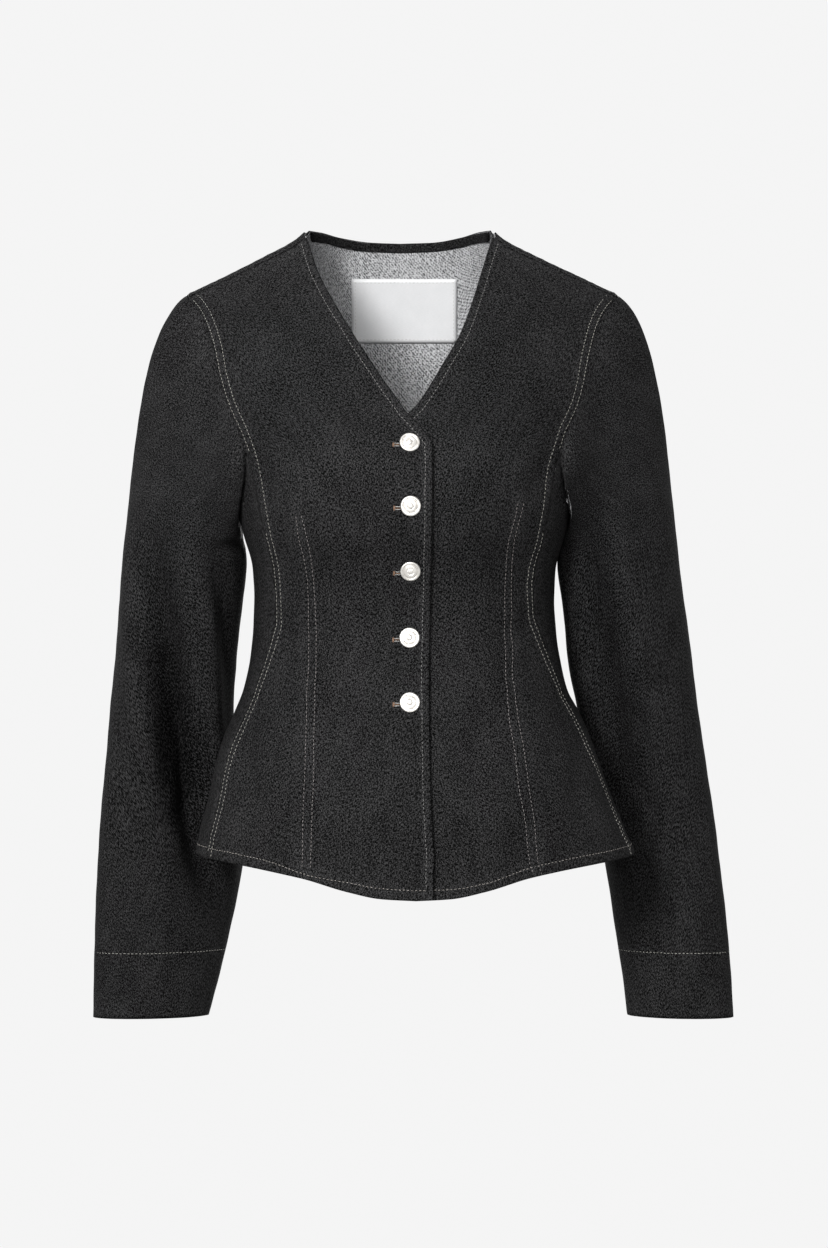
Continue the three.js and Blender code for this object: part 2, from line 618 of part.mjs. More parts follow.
// One sleeve: its head leaves the armhole, and its tube runs down to the cuff.
function sleeve(side) {
  const sign = side === 'left' ? 1 : -1;
  const table = side === 'left' ? SLEEVE_LEFT : SLEEVE_RIGHT;
  const ring = armholeRing(side);
  const count = ring.length;
  const lengths = ring.map(({ point }, i) => point.distanceTo(ring[(i + 1) % count].point));
  const around = lengths.reduce((sum, length) => sum + length, 0);
  let run = lengths[count - 1] / 2;
  const starts = ring.map(({ point, normal }, i) => {
    const before = ring[(i + count - 1) % count].point;
    const after = ring[(i + 1) % count].point;
    const tangent = after.clone().sub(before).normalize();
    const away = normal.clone().cross(tangent).normalize().multiplyScalar(sign);
    const fold = smooth(-point.z, -BEND_START_Z, -BEND_FULL_Z);
    const bend = radians(mix(TIP_BEND, UNDERARM_BEND, fold));
    const half = Math.max(bend / 2, 0);
    const first = point.clone()
      .addScaledVector(away, ARMHOLE_GAP * Math.cos(half))
      .addScaledVector(normal, ARMHOLE_GAP * Math.sin(half));
    const leave = away.clone().multiplyScalar(Math.cos(bend)).addScaledVector(normal, Math.sin(bend));
    const face = normal.clone().multiplyScalar(Math.cos(bend)).addScaledVector(away, -Math.sin(bend));
    const angle = (2 * Math.PI * run) / around;
    run += lengths[i];
    return { first, leave, face, angle };
  });
  const points = SLEEVE_HEAD_STEPS.map((share) => starts.map(({ first, leave, angle }) => {
    const end = sleeveSection(table, sign, SLEEVE_JOIN_Z, angle);
    const below = sleeveSection(table, sign, SLEEVE_JOIN_Z - SECTION_STEP, angle);
    const rise = end.clone().sub(below).normalize();
    const span = first.distanceTo(end);
    const curve = new THREE.CubicBezierCurve3(
      first,
      first.clone().addScaledVector(leave, SLEEVE_START_PULL * span),
      end.clone().addScaledVector(rise, SLEEVE_END_PULL * span),
      end,
    );
    return curve.getPoint(share);
  }));
  const tubeSteps = Math.round((SLEEVE_JOIN_Z - CUFF_Z) / SLEEVE_TUBE_STEP);
  for (let r = 1; r <= tubeSteps; r += 1) {
    const z = mix(SLEEVE_JOIN_Z, CUFF_Z, r / tubeSteps);
    points.push(starts.map(({ angle }) => sleeveSection(table, sign, z, angle)));
  }
  const folds = SLEEVE_FOLDS.filter((fold) => fold.side === side);
  const total = (row) => row.reduce((sum, point) => sum.add(point), new THREE.Vector3());
  for (const row of points.slice(SLEEVE_HEAD_STEPS.length - 2)) {
    const middle = total(row).divideScalar(count);
    row.forEach((point, c) => {
      const outward = point.clone().sub(middle).setZ(0).normalize();
      const degrees = THREE.MathUtils.radToDeg(starts[c].angle);
      point.addScaledVector(outward, foldHeight(folds, 'angle', degrees, point.z));
    });
  }
  const rows = points.map((row, r) => row.map((point, c) => {
    if (r === 0) return { point, normal: starts[c].face };
    const down = points[Math.min(r + 1, points.length - 1)][c].clone().sub(points[r - 1][c]);
    const along = row[(c + 1) % count].clone().sub(row[(c + count - 1) % count]);
    const normal = along.cross(down).normalize().multiplyScalar(sign);
    return { point, normal };
  }));
  return wall(rows, { round: true });
}

// The binding along the inside of the back neck, from the back's own top rows moved in.
function neckBinding(panel) {
  const shares = BACK_SHARES.map((share, c) => ({ share, c }));
  const columns = shares.filter(({ share }) => Math.abs(share) < BINDING_SHARE);
  const rows = panel.slice(0, BINDING_ROWS).map((row) => columns.map(({ c }) => {
    const { point, normal } = row[c];
    return { point: point.clone().addScaledVector(normal, -WALL - SEAM_GAP), normal };
  }));
  return wall(rows, { thickness: TRIM_WALL });
}

// The blank label below the binding, on the inside of the back.
function label(panel) {
  const rows = [];
  for (let r = 0; r <= LABEL.rows; r += 1) {
    const z = mix(LABEL.top, LABEL.bottom, r / LABEL.rows);
    const row = [];
    for (let c = 0; c <= LABEL.columns; c += 1) {
      const { point, normal } = placeOn(panel, mix(LABEL.left, LABEL.right, c / LABEL.columns), z, WALL);
      row.push({ point: point.addScaledVector(normal, -SEAM_GAP), normal });
    }
    rows.push(row);
  }
  return wall(rows, { thickness: TRIM_WALL });
}

// One button: a domed disc with rings on a short stem.
function buttonGeometry() {
  const outline = BUTTON_PROFILE.map(({ radius, height }) => new THREE.Vector2(radius, height));
  const geometry = new THREE.LatheGeometry(outline, BUTTON_SIDES);
  geometry.rotateX(Math.PI / 2);
  return geometry;
}

const denim = { color: 0x252528, roughness: 0.92, metalness: 0 };
const binding = { color: 0x1f1f22, roughness: 0.9, metalness: 0 };
const satin = { color: 0xd8d8d8, roughness: 0.45, metalness: 0 };
const metal = { color: 0xc9c4bb, roughness: 0.3, metalness: 1 };

const jacket = new THREE.Group();

// Adds a named mesh with its own material to the jacket.
function add(name, geometry, finish) {
  const material = new THREE.MeshStandardMaterial({ ...finish, side: THREE.DoubleSide });
  const mesh = new THREE.Mesh(geometry, material);
  mesh.name = name;
  jacket.add(mesh);
  return mesh;
}

const back = backRows();
const frontOver = frontRows('right');
add('front_right', wall(frontOver), denim);
add('front_left', wall(frontRows('left')), denim);
for (const side of ['right', 'left']) {
  add(`side_${side}`, sidePanel(side), denim);
  add(`sleeve_${side}`, sleeve(side), denim);
}
add('back', wall(back), denim);
add('neck_binding', neckBinding(back), binding);
add('label', label(back), satin);
BUTTONS.forEach(({ x, z }, i) => {
  const seat = placeOn(frontOver, x, z);
  const button = add(`button_${i + 1}`, buttonGeometry(), metal);
  button.quaternion.setFromUnitVectors(new THREE.Vector3(0, 0, 1), seat.normal);
  button.position.copy(seat.point).addScaledVector(seat.normal, BUTTON_LIFT);
});

export default jacket;
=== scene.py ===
"""A fitted denim jacket with a flared hem, long sleeves and five buttons, dressed for pictures.

Lengths are in millimetres until a mesh is made. +Z is up, the front faces -Y, the wearer's left
is +X, and z = 0 is the high shoulder point, as in the solid form that this script starts from.
"""

import logging
import math
from dataclasses import dataclass, field
from enum import Enum
from typing import Callable

import bpy
import numpy as np
from mathutils import Matrix, Vector
from mathutils.bvhtree import BVHTree


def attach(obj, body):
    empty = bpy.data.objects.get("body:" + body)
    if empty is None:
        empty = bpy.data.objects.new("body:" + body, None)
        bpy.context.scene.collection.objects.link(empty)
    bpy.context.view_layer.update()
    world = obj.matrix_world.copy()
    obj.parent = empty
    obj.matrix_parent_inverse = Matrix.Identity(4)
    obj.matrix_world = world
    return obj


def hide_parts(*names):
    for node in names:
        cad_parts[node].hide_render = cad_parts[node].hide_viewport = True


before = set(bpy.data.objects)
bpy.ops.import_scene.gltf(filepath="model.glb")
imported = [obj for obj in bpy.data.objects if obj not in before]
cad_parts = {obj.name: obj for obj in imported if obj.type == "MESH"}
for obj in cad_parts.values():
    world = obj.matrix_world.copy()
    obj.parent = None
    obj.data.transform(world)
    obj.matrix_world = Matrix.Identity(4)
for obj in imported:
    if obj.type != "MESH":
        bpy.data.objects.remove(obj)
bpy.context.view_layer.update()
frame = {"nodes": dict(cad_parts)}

LOG = logging.getLogger("jacket")
BODY = "root"
METRE = 0.001

# Sizes shared by the cloth pieces
WALL = 1.5
SEAM_GAP = 0.3
ARMHOLE_GAP = 0.4
TRIM_WALL = 1.0
NECK_POINT_X = 83.0
TIP_X = 187.5
TIP_INSET = 1.0
SHOULDER_DROP = 51.0
NECK_RISE = 1.0
NECK_BLEND = 6.0
FRONT_ROLL = 150.0
BACK_ROLL = 90.0
SECTION_POWER = 0.85
NECK_SEAM_DROP = 6.0
TIP_SEAM_DROP = 3.0
JUNCTION_Z = -172.0
UNDERARM_Z = -237.0
UNDERARM_END_Z = -260.0
UNDERARM_POWER = 0.42
HEM_START_Z = -490.0
HEM_NOMINAL_Z = -550.0
UNDER_FULL_X = 23.5
UNDER_NONE_X = 52.0
UNDER_FULL_Z = -150.0
UNDER_NONE_Z = -95.0
SLEEVE_JOIN_Z = -290.0
CUFF_Z = -684.5
SLEEVE_START_PULL = 0.2
SLEEVE_END_PULL = 0.42
TIP_BEND = -10.0
UNDERARM_BEND = 158.0
BEND_START_Z = -140.0
BEND_FULL_Z = -228.0
SECTION_STEP = 10.0
BINDING_SHARE = 0.43
TUCK = 5.0
# Painted shade in crease troughs and painted highlight on crease ridges, per millimetre of depth
CREASE_SHADE_AND_HIGHLIGHT = 0.13
UNDER_DEPTH = 3.0
RING_ROW = 2
SLOPE_STEP = 0.05
TURN_STEP = 0.01

# Spacing of the points of the cloth meshes, wider inside and close together along seams and hems
CLOTH_STEP = 3.6
DART_STEP = 2.3
NEAR_SEAM = (0.7, 1.5, 2.4, 3.6, 5.0, 6.4, 7.6, 8.8, 10.2, 12.2)

Array = np.ndarray


class Side(Enum):
    """The wearer's side that a piece is on; the value is the sign of its x."""

    RIGHT = -1
    LEFT = 1

    @property
    def word(self) -> str:
        """The side as it is written in names."""
        return self.name.lower()


class Thread(Enum):
    """Sewing threads of the jacket."""

    TAN = "thread_tan"
    SILVER = "thread_silver"
    GREY = "thread_grey"
    ROSE = "thread_rose"
    DARK = "thread_dark"
    RUST = "thread_rust"
    WHITE = "thread_white"


def table(columns: str, *rows: tuple) -> dict[str, Array]:
    """Turns rows of numbers into named columns.

    Args:
        columns: the names of the columns, with spaces between them.
        rows: one tuple of numbers for each row.

    Returns:
        An array for each column, by name.
    """
    values = np.array(rows, dtype=float)
    return {name: values[:, i] for i, name in enumerate(columns.split())}


BODY_SECTIONS = table(
    "z half front back lean",
    (12, 238, 30, 58, -6.5),
    (-52, 228, 58, 84, -4.2),
    (-100, 206, 82, 100, -3.6),
    (-150, 180, 102, 110, -3.2),
    (-172, 170, 110, 112, -3),
    (-200, 158, 121, 113, -2.7),
    (-237, 146, 127, 110, -2.5),
    (-262, 139, 123, 103, -2.4),
    (-290, 131.5, 111, 96, -2.2),
    (-316, 130, 104, 93, -2.2),
    (-342, 131.4, 101, 95, -2),
    (-368, 135, 103, 99, -1.7),
    (-394, 141, 107, 105, -1.7),
    (-414, 150, 110, 110, -0.3),
    (-434, 159, 113, 114, 0),
    (-461, 168, 117, 118, 0.9),
    (-490, 176, 121, 121, 3),
    (-516, 184.5, 125, 122, 4.9),
    (-536, 189.5, 128, 123, 7.4),
    (-575, 194, 131, 124, 8),
)
LONG_SEAMS = table(
    "z right left back",
    (-172, 0.82, 0.82, 0.853),
    (-213, 0.83, 0.83, 0.845),
    (-243, 0.845, 0.85, 0.83),
    (-268, 0.85, 0.86, 0.81),
    (-302, 0.853, 0.845, 0.8),
    (-333, 0.849, 0.863, 0.8),
    (-362, 0.88, 0.913, 0.805),
    (-391, 0.911, 0.955, 0.81),
    (-444, 0.928, 0.97, 0.82),
    (-490, 0.933, 0.985, 0.83),
    (-560, 0.947, 0.985, 0.84),
)
ARMHOLE = table(
    "z front back",
    (-51, 187.5, 187.5),
    (-54, 186, 186),
    (-61, 179.5, 180),
    (-72, 172.5, 172),
    (-87, 166.5, 164),
    (-105, 161.5, 157),
    (-126, 157, 151),
    (-148, 150.5, 147),
    (-172, 139.5, 145),
)
FRONT_EDGES = table(
    "z over under",
    (0, -87, 74.5),
    (-31.5, -77, 64.7),
    (-46, -70.3, 60.5),
    (-89, -45.8, 45.5),
    (-118, -27.5, 29),
    (-129, -20.1, 22.5),
    (-151, -4.8, 7.8),
    (-157.6, -0.2, 1),
    (-164, 6.4, -6),
    (-178, 17.9, -15),
    (-184, 21.7, -17),
    (-208, 22.1, -17),
    (-300, 20.8, -17),
    (-380, 19.2, -17),
    (-452, 19.8, -17),
    (-511, 21.5, -17),
    (-569, 23, -17),
)
HEM = table(
    "share front back",
    (0, -569, -545),
    (0.15, -567.5, -545),
    (0.3, -561.8, -544),
    (0.5, -551, -542),
    (0.65, -545.5, -540),
    (0.8, -541, -538.5),
    (1, -536, -536),
)
BACK_NECK = table("x z", (0, 0), (28, 1), (54, 4.2), (71, 7), (78, 7), (83, 4.2))
SLEEVE_SECTIONS = {
    Side.RIGHT: table(
        "z outer inner back thick turn",
        (-290, 249, 140.6, 22, 48, 4),
        (-330, 252.8, 145.5, 29, 47, 8),
        (-370, 256.6, 150.4, 37, 45, 14),
        (-410, 261.1, 153.5, 47, 43, 21),
        (-450, 264.8, 151.5, 57, 41, 28),
        (-490, 268.4, 146.7, 66, 39, 33),
        (-530, 271.7, 144.4, 73, 38, 35),
        (-570, 274.5, 149.8, 77, 37, 33),
        (-610, 276, 158.5, 78, 36, 29),
        (-650, 277.7, 167.6, 77, 34, 24),
        (-684.5, 277.9, 176.7, 75, 32, 20),
    ),
    Side.LEFT: table(
        "z outer inner back thick turn",
        (-290, 239.3, 133.6, 22, 48, 4),
        (-330, 244.7, 140, 29, 47, 8),
        (-370, 250.3, 143.3, 37, 45, 14),
        (-410, 255.9, 151.2, 47, 43, 21),
        (-450, 262.4, 158.4, 57, 41, 28),
        (-490, 268.2, 166, 66, 39, 33),
        (-530, 274.1, 172.6, 73, 38, 35),
        (-570, 279.6, 179.8, 77, 37, 33),
        (-610, 283.8, 185.9, 78, 36, 29),
        (-650, 287.4, 191.8, 77, 34, 24),
        (-684.5, 289.2, 196, 75, 32, 20),
    ),
}
# Broad folds that the solid form has too
BODY_FOLDS = table(
    "turn z spread length depth",
    (-34, -575, 7, 70, 4.5),
    (40, -580, 9, 80, -3),
    (-145, -570, 9, 90, 4.5),
    (122, -575, 12, 90, 6.5),
    (-158, -575, 12, 80, -4),
    (160, -570, 14, 100, 5),
)
SLEEVE_FOLDS = {
    Side.RIGHT: table(
        "angle slant z spread length depth",
        (62, 0.16, -480, 17, 75, -5),
        (95, -0.1, -360, 19, 60, 3),
        (250, 0.12, -430, 20, 70, -5),
        (300, -0.08, -560, 18, 60, -3.5),
    ),
    Side.LEFT: table(
        "angle slant z spread length depth",
        (70, -0.12, -455, 18, 70, -4),
        (240, -0.14, -415, 19, 75, -5.5),
        (285, 0.1, -540, 18, 65, -3.5),
    ),
}
BUTTON_PLACES = table(
    "x z", (2.5, -185.8), (3.3, -239.5), (3.1, -294), (2.3, -350.1), (2.6, -404.6)
)


# How far the folded front edge stands up
PLACKET_RISE = {Side.RIGHT: 1.1, Side.LEFT: 0.0}

# Where the front hem rolls up: x, how wide, and how much
HEM_ROLL = {Side.RIGHT: (-84.0, 26.0, 4.6), Side.LEFT: (70.0, 30.0, 2.0)}

# Stitch rows of the front darts, by height: x of the row nearer the side and of the other
DARTS = {
    Side.RIGHT: table(
        "z a b",
        (-245, -94.0, -89.3),
        (-262, -92.4, -85.1),
        (-283, -86.7, -80.7),
        (-305, -83.9, -78.7),
        (-348, -83.1, -76.6),
        (-391, -84.6, -77.8),
        (-429, -85.3, -78.4),
        (-476, -86.3, -78.7),
        (-511, -87.4, -79.8),
        (-548, -87.2, -80.5),
    ),
    Side.LEFT: table(
        "z a b",
        (-234, 99.2, 94.0),
        (-250, 94.9, 90.6),
        (-271, 90.8, 85.7),
        (-300, 88.5, 83.3),
        (-324, 88.6, 82.6),
        (-357, 89.5, 83.4),
        (-381, 90.2, 84.2),
        (-417, 94.3, 86.6),
        (-442, 98.8, 90.7),
        (-474, 103.3, 94.8),
        (-506, 108.3, 100.6),
        (-539, 111.5, 104.2),
        (-550, 114.8, 108.0),
    ),
}


class Profile:
    """A smooth curve through one column of a table, without overshoot."""

    def __init__(self, at: Array, value: Array) -> None:
        """Keeps the points in order and finds the slope at each."""
        order = np.argsort(at)
        self.at = at[order]
        self.value = value[order]
        slope = np.diff(self.value) / np.diff(self.at)
        self.tangent = np.concatenate(([slope[0]], np.zeros(len(slope) - 1), [slope[-1]]))
        product = slope[:-1] * slope[1:]
        rising = product > 0
        total = np.where(rising, slope[:-1] + slope[1:], 1.0)
        self.tangent[1:-1] = np.where(rising, 2 * product / total, 0.0)

    def __call__(self, wanted: Array | float) -> Array:
        """The height of the curve at each wanted place."""
        x = np.clip(np.asarray(wanted, dtype=float), self.at[0], self.at[-1])
        i = np.clip(np.searchsorted(self.at, x, side="left") - 1, 0, len(self.at) - 2)
        width = self.at[i + 1] - self.at[i]
        t = (x - self.at[i]) / width
        start = (1 + 2 * t) * (1 - t) ** 2 * self.value[i] + t * (1 - t) ** 2 * width * self.tangent[i]
        end = t * t * (3 - 2 * t) * self.value[i + 1] - t * t * (1 - t) * width * self.tangent[i + 1]
        return start + end


def mix(a: Array | float, b: Array | float, share: Array | float) -> Array:
    """The value at a share of the way from a to b."""
    return a + (np.asarray(b) - a) * share


def smooth_step(value: Array | float, low: float, high: float) -> Array:
    """A soft step from 0 at low to 1 at high."""
    t = np.clip((np.asarray(value, dtype=float) - low) / (high - low), 0, 1)
    return t * t * (3 - 2 * t)


def unit(vectors: Array) -> Array:
    """The vectors at length 1."""
    return vectors / np.maximum(np.linalg.norm(vectors, axis=-1, keepdims=True), 1e-9)


def bump(value: Array | float, middle: float, width: float) -> Array:
    """A soft bell of height 1 round a middle."""
    return np.exp(-(((np.asarray(value) - middle) / width) ** 2))


def shoulder_line(distance: Array | float) -> Array:
    """Height of the shoulder line above the body, by distance from the body's own centre."""
    inside = NECK_POINT_X - np.asarray(distance, dtype=float)
    rise = NECK_RISE * NECK_BLEND * np.log1p(np.exp(inside / NECK_BLEND))
    return SHOULDER_DROP * inside / (TIP_X - NECK_POINT_X) + rise


def seam_height(distance: Array | float) -> Array:
    """Height of the forward shoulder seam at a distance from the centre."""
    share = (np.asarray(distance, dtype=float) - NECK_POINT_X) / (TIP_X - NECK_POINT_X)
    return shoulder_line(distance) - mix(NECK_SEAM_DROP, TIP_SEAM_DROP, share)


def fold_height(folds: dict[str, Array], key: str, degrees: Array, z: Array) -> Array:
    """Height of soft folds at an angle and height: each fades out along and across its line."""
    total = np.zeros(np.broadcast(degrees, z).shape)
    slants = folds.get("slant", np.zeros(len(folds["z"])))
    for angle, slant, at, spread, length, depth in zip(
        folds[key], slants, folds["z"], folds["spread"], folds["length"], folds["depth"]
    ):
        line = angle + slant * (z - at)
        off = np.mod(degrees - line + 180, 360) - 180
        total = total + depth * np.exp(-((off / spread) ** 2) - ((z - at) / length) ** 2)
    return total


class BodyForm:
    """The filled-out body that the panels lie on, as depth over x and z."""

    def __init__(self) -> None:
        """Makes the curves of the tables."""
        z = BODY_SECTIONS["z"]
        self.half = Profile(z, BODY_SECTIONS["half"])
        self.front = Profile(z, BODY_SECTIONS["front"])
        self.back = Profile(z, BODY_SECTIONS["back"])
        self.lean = Profile(z, BODY_SECTIONS["lean"])
        self.front_armhole = Profile(ARMHOLE["z"], ARMHOLE["front"])
        self.back_armhole = Profile(ARMHOLE["z"], ARMHOLE["back"])
        self.over_edge = Profile(FRONT_EDGES["z"], FRONT_EDGES["over"])
        self.under_edge = Profile(FRONT_EDGES["z"], FRONT_EDGES["under"])
        self.front_hem = Profile(HEM["share"], HEM["front"])
        self.back_hem = Profile(HEM["share"], HEM["back"])
        self.back_neck = Profile(BACK_NECK["x"], BACK_NECK["z"])
        self.side_front = {side: Profile(LONG_SEAMS["z"], LONG_SEAMS[side.word]) for side in Side}
        self.side_back = Profile(LONG_SEAMS["z"], LONG_SEAMS["back"])

    def squared_depth(self, x: Array, z: Array, behind: Array) -> Array:
        """The squared depth at a place, which falls to nothing at the sides and shoulder line."""
        own = np.abs(x - self.lean(z))
        share = np.minimum(own / self.half(z), 1)
        depth = np.where(behind, self.back(z), self.front(z))
        roll = np.where(behind, BACK_ROLL, FRONT_ROLL)
        below = np.clip((shoulder_line(own) - z) / roll, 0, 1)
        return depth**2 * (1 - share**2) ** SECTION_POWER * (2 * below - below**2)

    def by_x(self, x: Array, z: Array, behind: Array | bool) -> tuple[Array, Array]:
        """Points of the body's outer face with their outward directions.

        Args:
            x: distance to the wearer's left.
            z: height.
            behind: true where the point is on the back.

        Returns:
            The points and the unit directions.
        """
        x, z, behind = np.broadcast_arrays(np.asarray(x, dtype=float), z, behind)
        y = np.sqrt(self.squared_depth(x, z, behind)) * np.where(behind, 1, -1)
        own = x - self.lean(z)
        near = np.abs(own) > self.half(z) - 2 * SLOPE_STEP
        inward = np.where(near, np.sign(own) * SLOPE_STEP, 0)
        base = x - inward
        right = self.squared_depth(base + SLOPE_STEP, z, behind)
        left = self.squared_depth(base - SLOPE_STEP, z, behind)
        above = self.squared_depth(base, z + SLOPE_STEP, behind)
        below = self.squared_depth(base, z - SLOPE_STEP, behind)
        along_x = (right - left) / (2 * SLOPE_STEP)
        along_z = (above - below) / (2 * SLOPE_STEP)
        normal = unit(np.stack([-along_x, 2 * y, -along_z], axis=-1))
        turn = np.degrees(np.arcsin(np.clip(own / self.half(z), -1, 1)))
        degrees = np.where(behind, 180 - turn, turn)
        height = fold_height(BODY_FOLDS, "turn", degrees, z)
        return np.stack([x, y, z], axis=-1) + normal * height[..., None], normal

    def by_turn(self, turn: Array, z: Array) -> tuple[Array, Array]:
        """The same by turn about the body: 0 at the centre front, a half circle at the back."""
        turn, z = np.broadcast_arrays(turn, z)
        return self.by_x(self.lean(z) + self.half(z) * np.sin(turn), z, np.cos(turn) < 0)

    def reach(self, turn: Array, z: Array) -> Array:
        """How far a point moves for each radian of turn."""
        ahead, _ = self.by_turn(turn + TURN_STEP, z)
        behind, _ = self.by_turn(turn - TURN_STEP, z)
        return np.linalg.norm(ahead - behind, axis=-1) / (2 * TURN_STEP)

    def side_front_turn(self, z: Array, side: Side, shift: float = 0.0) -> Array:
        """Turn of the side front seam, moved by half a gap where a panel needs it."""
        turn = np.arcsin(self.side_front[side](z))
        return turn + shift / self.reach(turn, z)

    def side_back_turn(self, z: Array, shift: float = 0.0) -> Array:
        """Turn of the side back seam, moved in the same way."""
        turn = np.pi - np.arcsin(self.side_back(z))
        return turn + shift / self.reach(turn, z)

    def hem(self, turn: Array) -> Array:
        """Height of the hem at a turn about the body."""
        share = np.abs(np.sin(turn))
        return np.where(np.cos(turn) < 0, self.back_hem(share), self.front_hem(share))

    def edge(self, side: Side) -> Profile:
        """The front edge of the panel on one side."""
        return self.under_edge if side is Side.LEFT else self.over_edge


FORM = BodyForm()


def spaced(start: float, end: float, step: float = CLOTH_STEP) -> Array:
    """Evenly spaced values from start to end, both included."""
    return np.linspace(start, end, max(2, int(round(abs(end - start) / step)) + 1))


def near_edges(width: Array, step: float, at_start: bool = True, at_end: bool = True) -> Array:
    """Shares of each row's width for its columns, close together near the edges.

    Args:
        width: the length of each row.
        step: the spacing away from the edges.
        at_start: true to close up at the first edge.
        at_end: true to close up at the last edge.

    Returns:
        One row of shares for each width, all with the same number of columns.
    """
    widest = float(np.max(width))
    near = np.array(NEAR_SEAM)
    taken = NEAR_SEAM[-1] * (int(at_start) + int(at_end))
    inner = max(2, int(round((widest - taken) / step)))
    squeeze = np.minimum(1.0, width / (taken + 0.4 * step * inner))[:, None]
    low = near[None, :] * squeeze / width[:, None]
    start = low[:, -1:] if at_start else np.zeros((len(width), 1))
    end = 1 - low[:, -1:] if at_end else np.ones((len(width), 1))
    middle = mix(start, end, np.linspace(0, 1, inner + 1)[None, :])
    parts = [middle]
    if at_start:
        parts = [np.zeros((len(width), 1)), low[:, :-1]] + parts
    if at_end:
        parts = parts + [1 - low[:, -2::-1], np.ones((len(width), 1))]
    return np.concatenate(parts, axis=1)


@dataclass
class Rows:
    """The heights below the armhole: nominal ones for the seams, and how far down to the hem."""

    nominal: Array
    hem_share: Array

    @classmethod
    def make(cls) -> "Rows":
        """The rows that all body panels share."""
        fixed = spaced(JUNCTION_Z, HEM_START_Z)
        share = near_edges(np.array([62.0]), CLOTH_STEP, False, True)[0][1:]
        nominal = np.concatenate([fixed, mix(HEM_START_Z, HEM_NOMINAL_Z, share)])
        return cls(nominal, np.concatenate([np.zeros(len(fixed)), share]))

    def height(self, turn: Array) -> Array:
        """The real height of each row at each turn."""
        flat = np.maximum(self.nominal, HEM_START_Z)[:, None]
        return mix(flat, FORM.hem(turn), self.hem_share[:, None])


ROWS = Rows.make()


@dataclass
class Grid:
    """Rows and columns of points on a piece of cloth, with outward directions and lengths."""

    points: Array
    normals: Array
    round: bool = False
    across: Array = field(init=False)
    down: Array = field(init=False)
    # Fading from rubbing, with painted shade and highlight from the creases, for each point
    wear: Array = field(init=False)

    def __post_init__(self) -> None:
        """Measures the cloth before it gets its details."""
        self.measure()
        self.wear = np.zeros(self.points.shape[:2])

    def measure(self) -> None:
        """Finds the length along each row and down each column."""
        step = np.linalg.norm(np.diff(self.points, axis=1), axis=-1)
        self.across = np.pad(np.cumsum(step, axis=1), ((0, 0), (1, 0)))
        step = np.linalg.norm(np.diff(self.points, axis=0), axis=-1)
        self.down = np.pad(np.cumsum(step, axis=0), ((1, 0), (0, 0)))

    @property
    def from_right(self) -> Array:
        """Length along each row to the last column."""
        return self.across[:, -1:] - self.across

    @property
    def from_bottom(self) -> Array:
        """Length down each column to the last row."""
        return self.down[-1:] - self.down

    def raise_by(self, height: Array) -> None:
        """Moves the points along their directions and finds the directions again."""
        self.points = self.points + self.normals * height[..., None]
        self.normals = self.facing()

    def facing(self) -> Array:
        """Directions of the surface as it is now, on the same side as before."""
        if self.round:
            along = np.roll(self.points, -1, axis=1) - np.roll(self.points, 1, axis=1)
        else:
            along = np.gradient(self.points, axis=1)
        down = np.gradient(self.points, axis=0)
        cross = unit(np.cross(along, down))
        same = np.sum(cross * self.normals, axis=-1, keepdims=True)
        blend = np.where(np.abs(same) < 0.3, self.normals, cross * np.sign(same))
        return unit(blend)

    def sample(self, row: Array, column: Array) -> tuple[Array, Array]:
        """Points and directions at fractional rows and columns."""
        rows, columns = self.points.shape[:2]
        row = np.clip(row, 0, rows - 1.001)
        column = np.clip(column, 0, columns - 1.001)
        r = row.astype(int)
        c = column.astype(int)
        dr = (row - r)[..., None]
        dc = (column - c)[..., None]
        found = []
        for values in (self.points, self.normals):
            upper = mix(values[r, c], values[r, c + 1], dc)
            lower = mix(values[r + 1, c], values[r + 1, c + 1], dc)
            found.append(mix(upper, lower, dr))
        return found[0], unit(found[1])


@dataclass
class Patch:
    """Vertices, faces and their marks, from which a mesh is made."""

    points: Array
    faces: list[tuple[int, ...]]
    slots: list[int]
    uv: Array
    wear: Array

    def build(self, name: str, materials: list[bpy.types.Material]) -> bpy.types.Object:
        """Makes the object, in metres, smooth shaded, with its UV map and its attribute of rub fading and painted
        crease shade.
        """
        mesh = bpy.data.meshes.new(name)
        mesh.from_pydata((self.points * METRE).tolist(), [], self.faces)
        for material in materials:
            mesh.materials.append(material)
        mesh.polygons.foreach_set("material_index", np.array(self.slots, dtype=np.int32))
        mesh.polygons.foreach_set("use_smooth", np.ones(len(self.faces), dtype=bool))
        layer = mesh.uv_layers.new(name="cloth")
        corner = np.empty(len(mesh.loops), dtype=np.int32)
        mesh.loops.foreach_get("vertex_index", corner)
        layer.data.foreach_set("uv", (self.uv[corner] * METRE).ravel())
        worn_and_shaded = mesh.attributes.new("wear", "FLOAT", "POINT")
        worn_and_shaded.data.foreach_set("value", self.wear.astype(np.float32))
        mesh.update()
        piece = bpy.data.objects.new(name, mesh)
        bpy.context.scene.collection.objects.link(piece)
        return piece


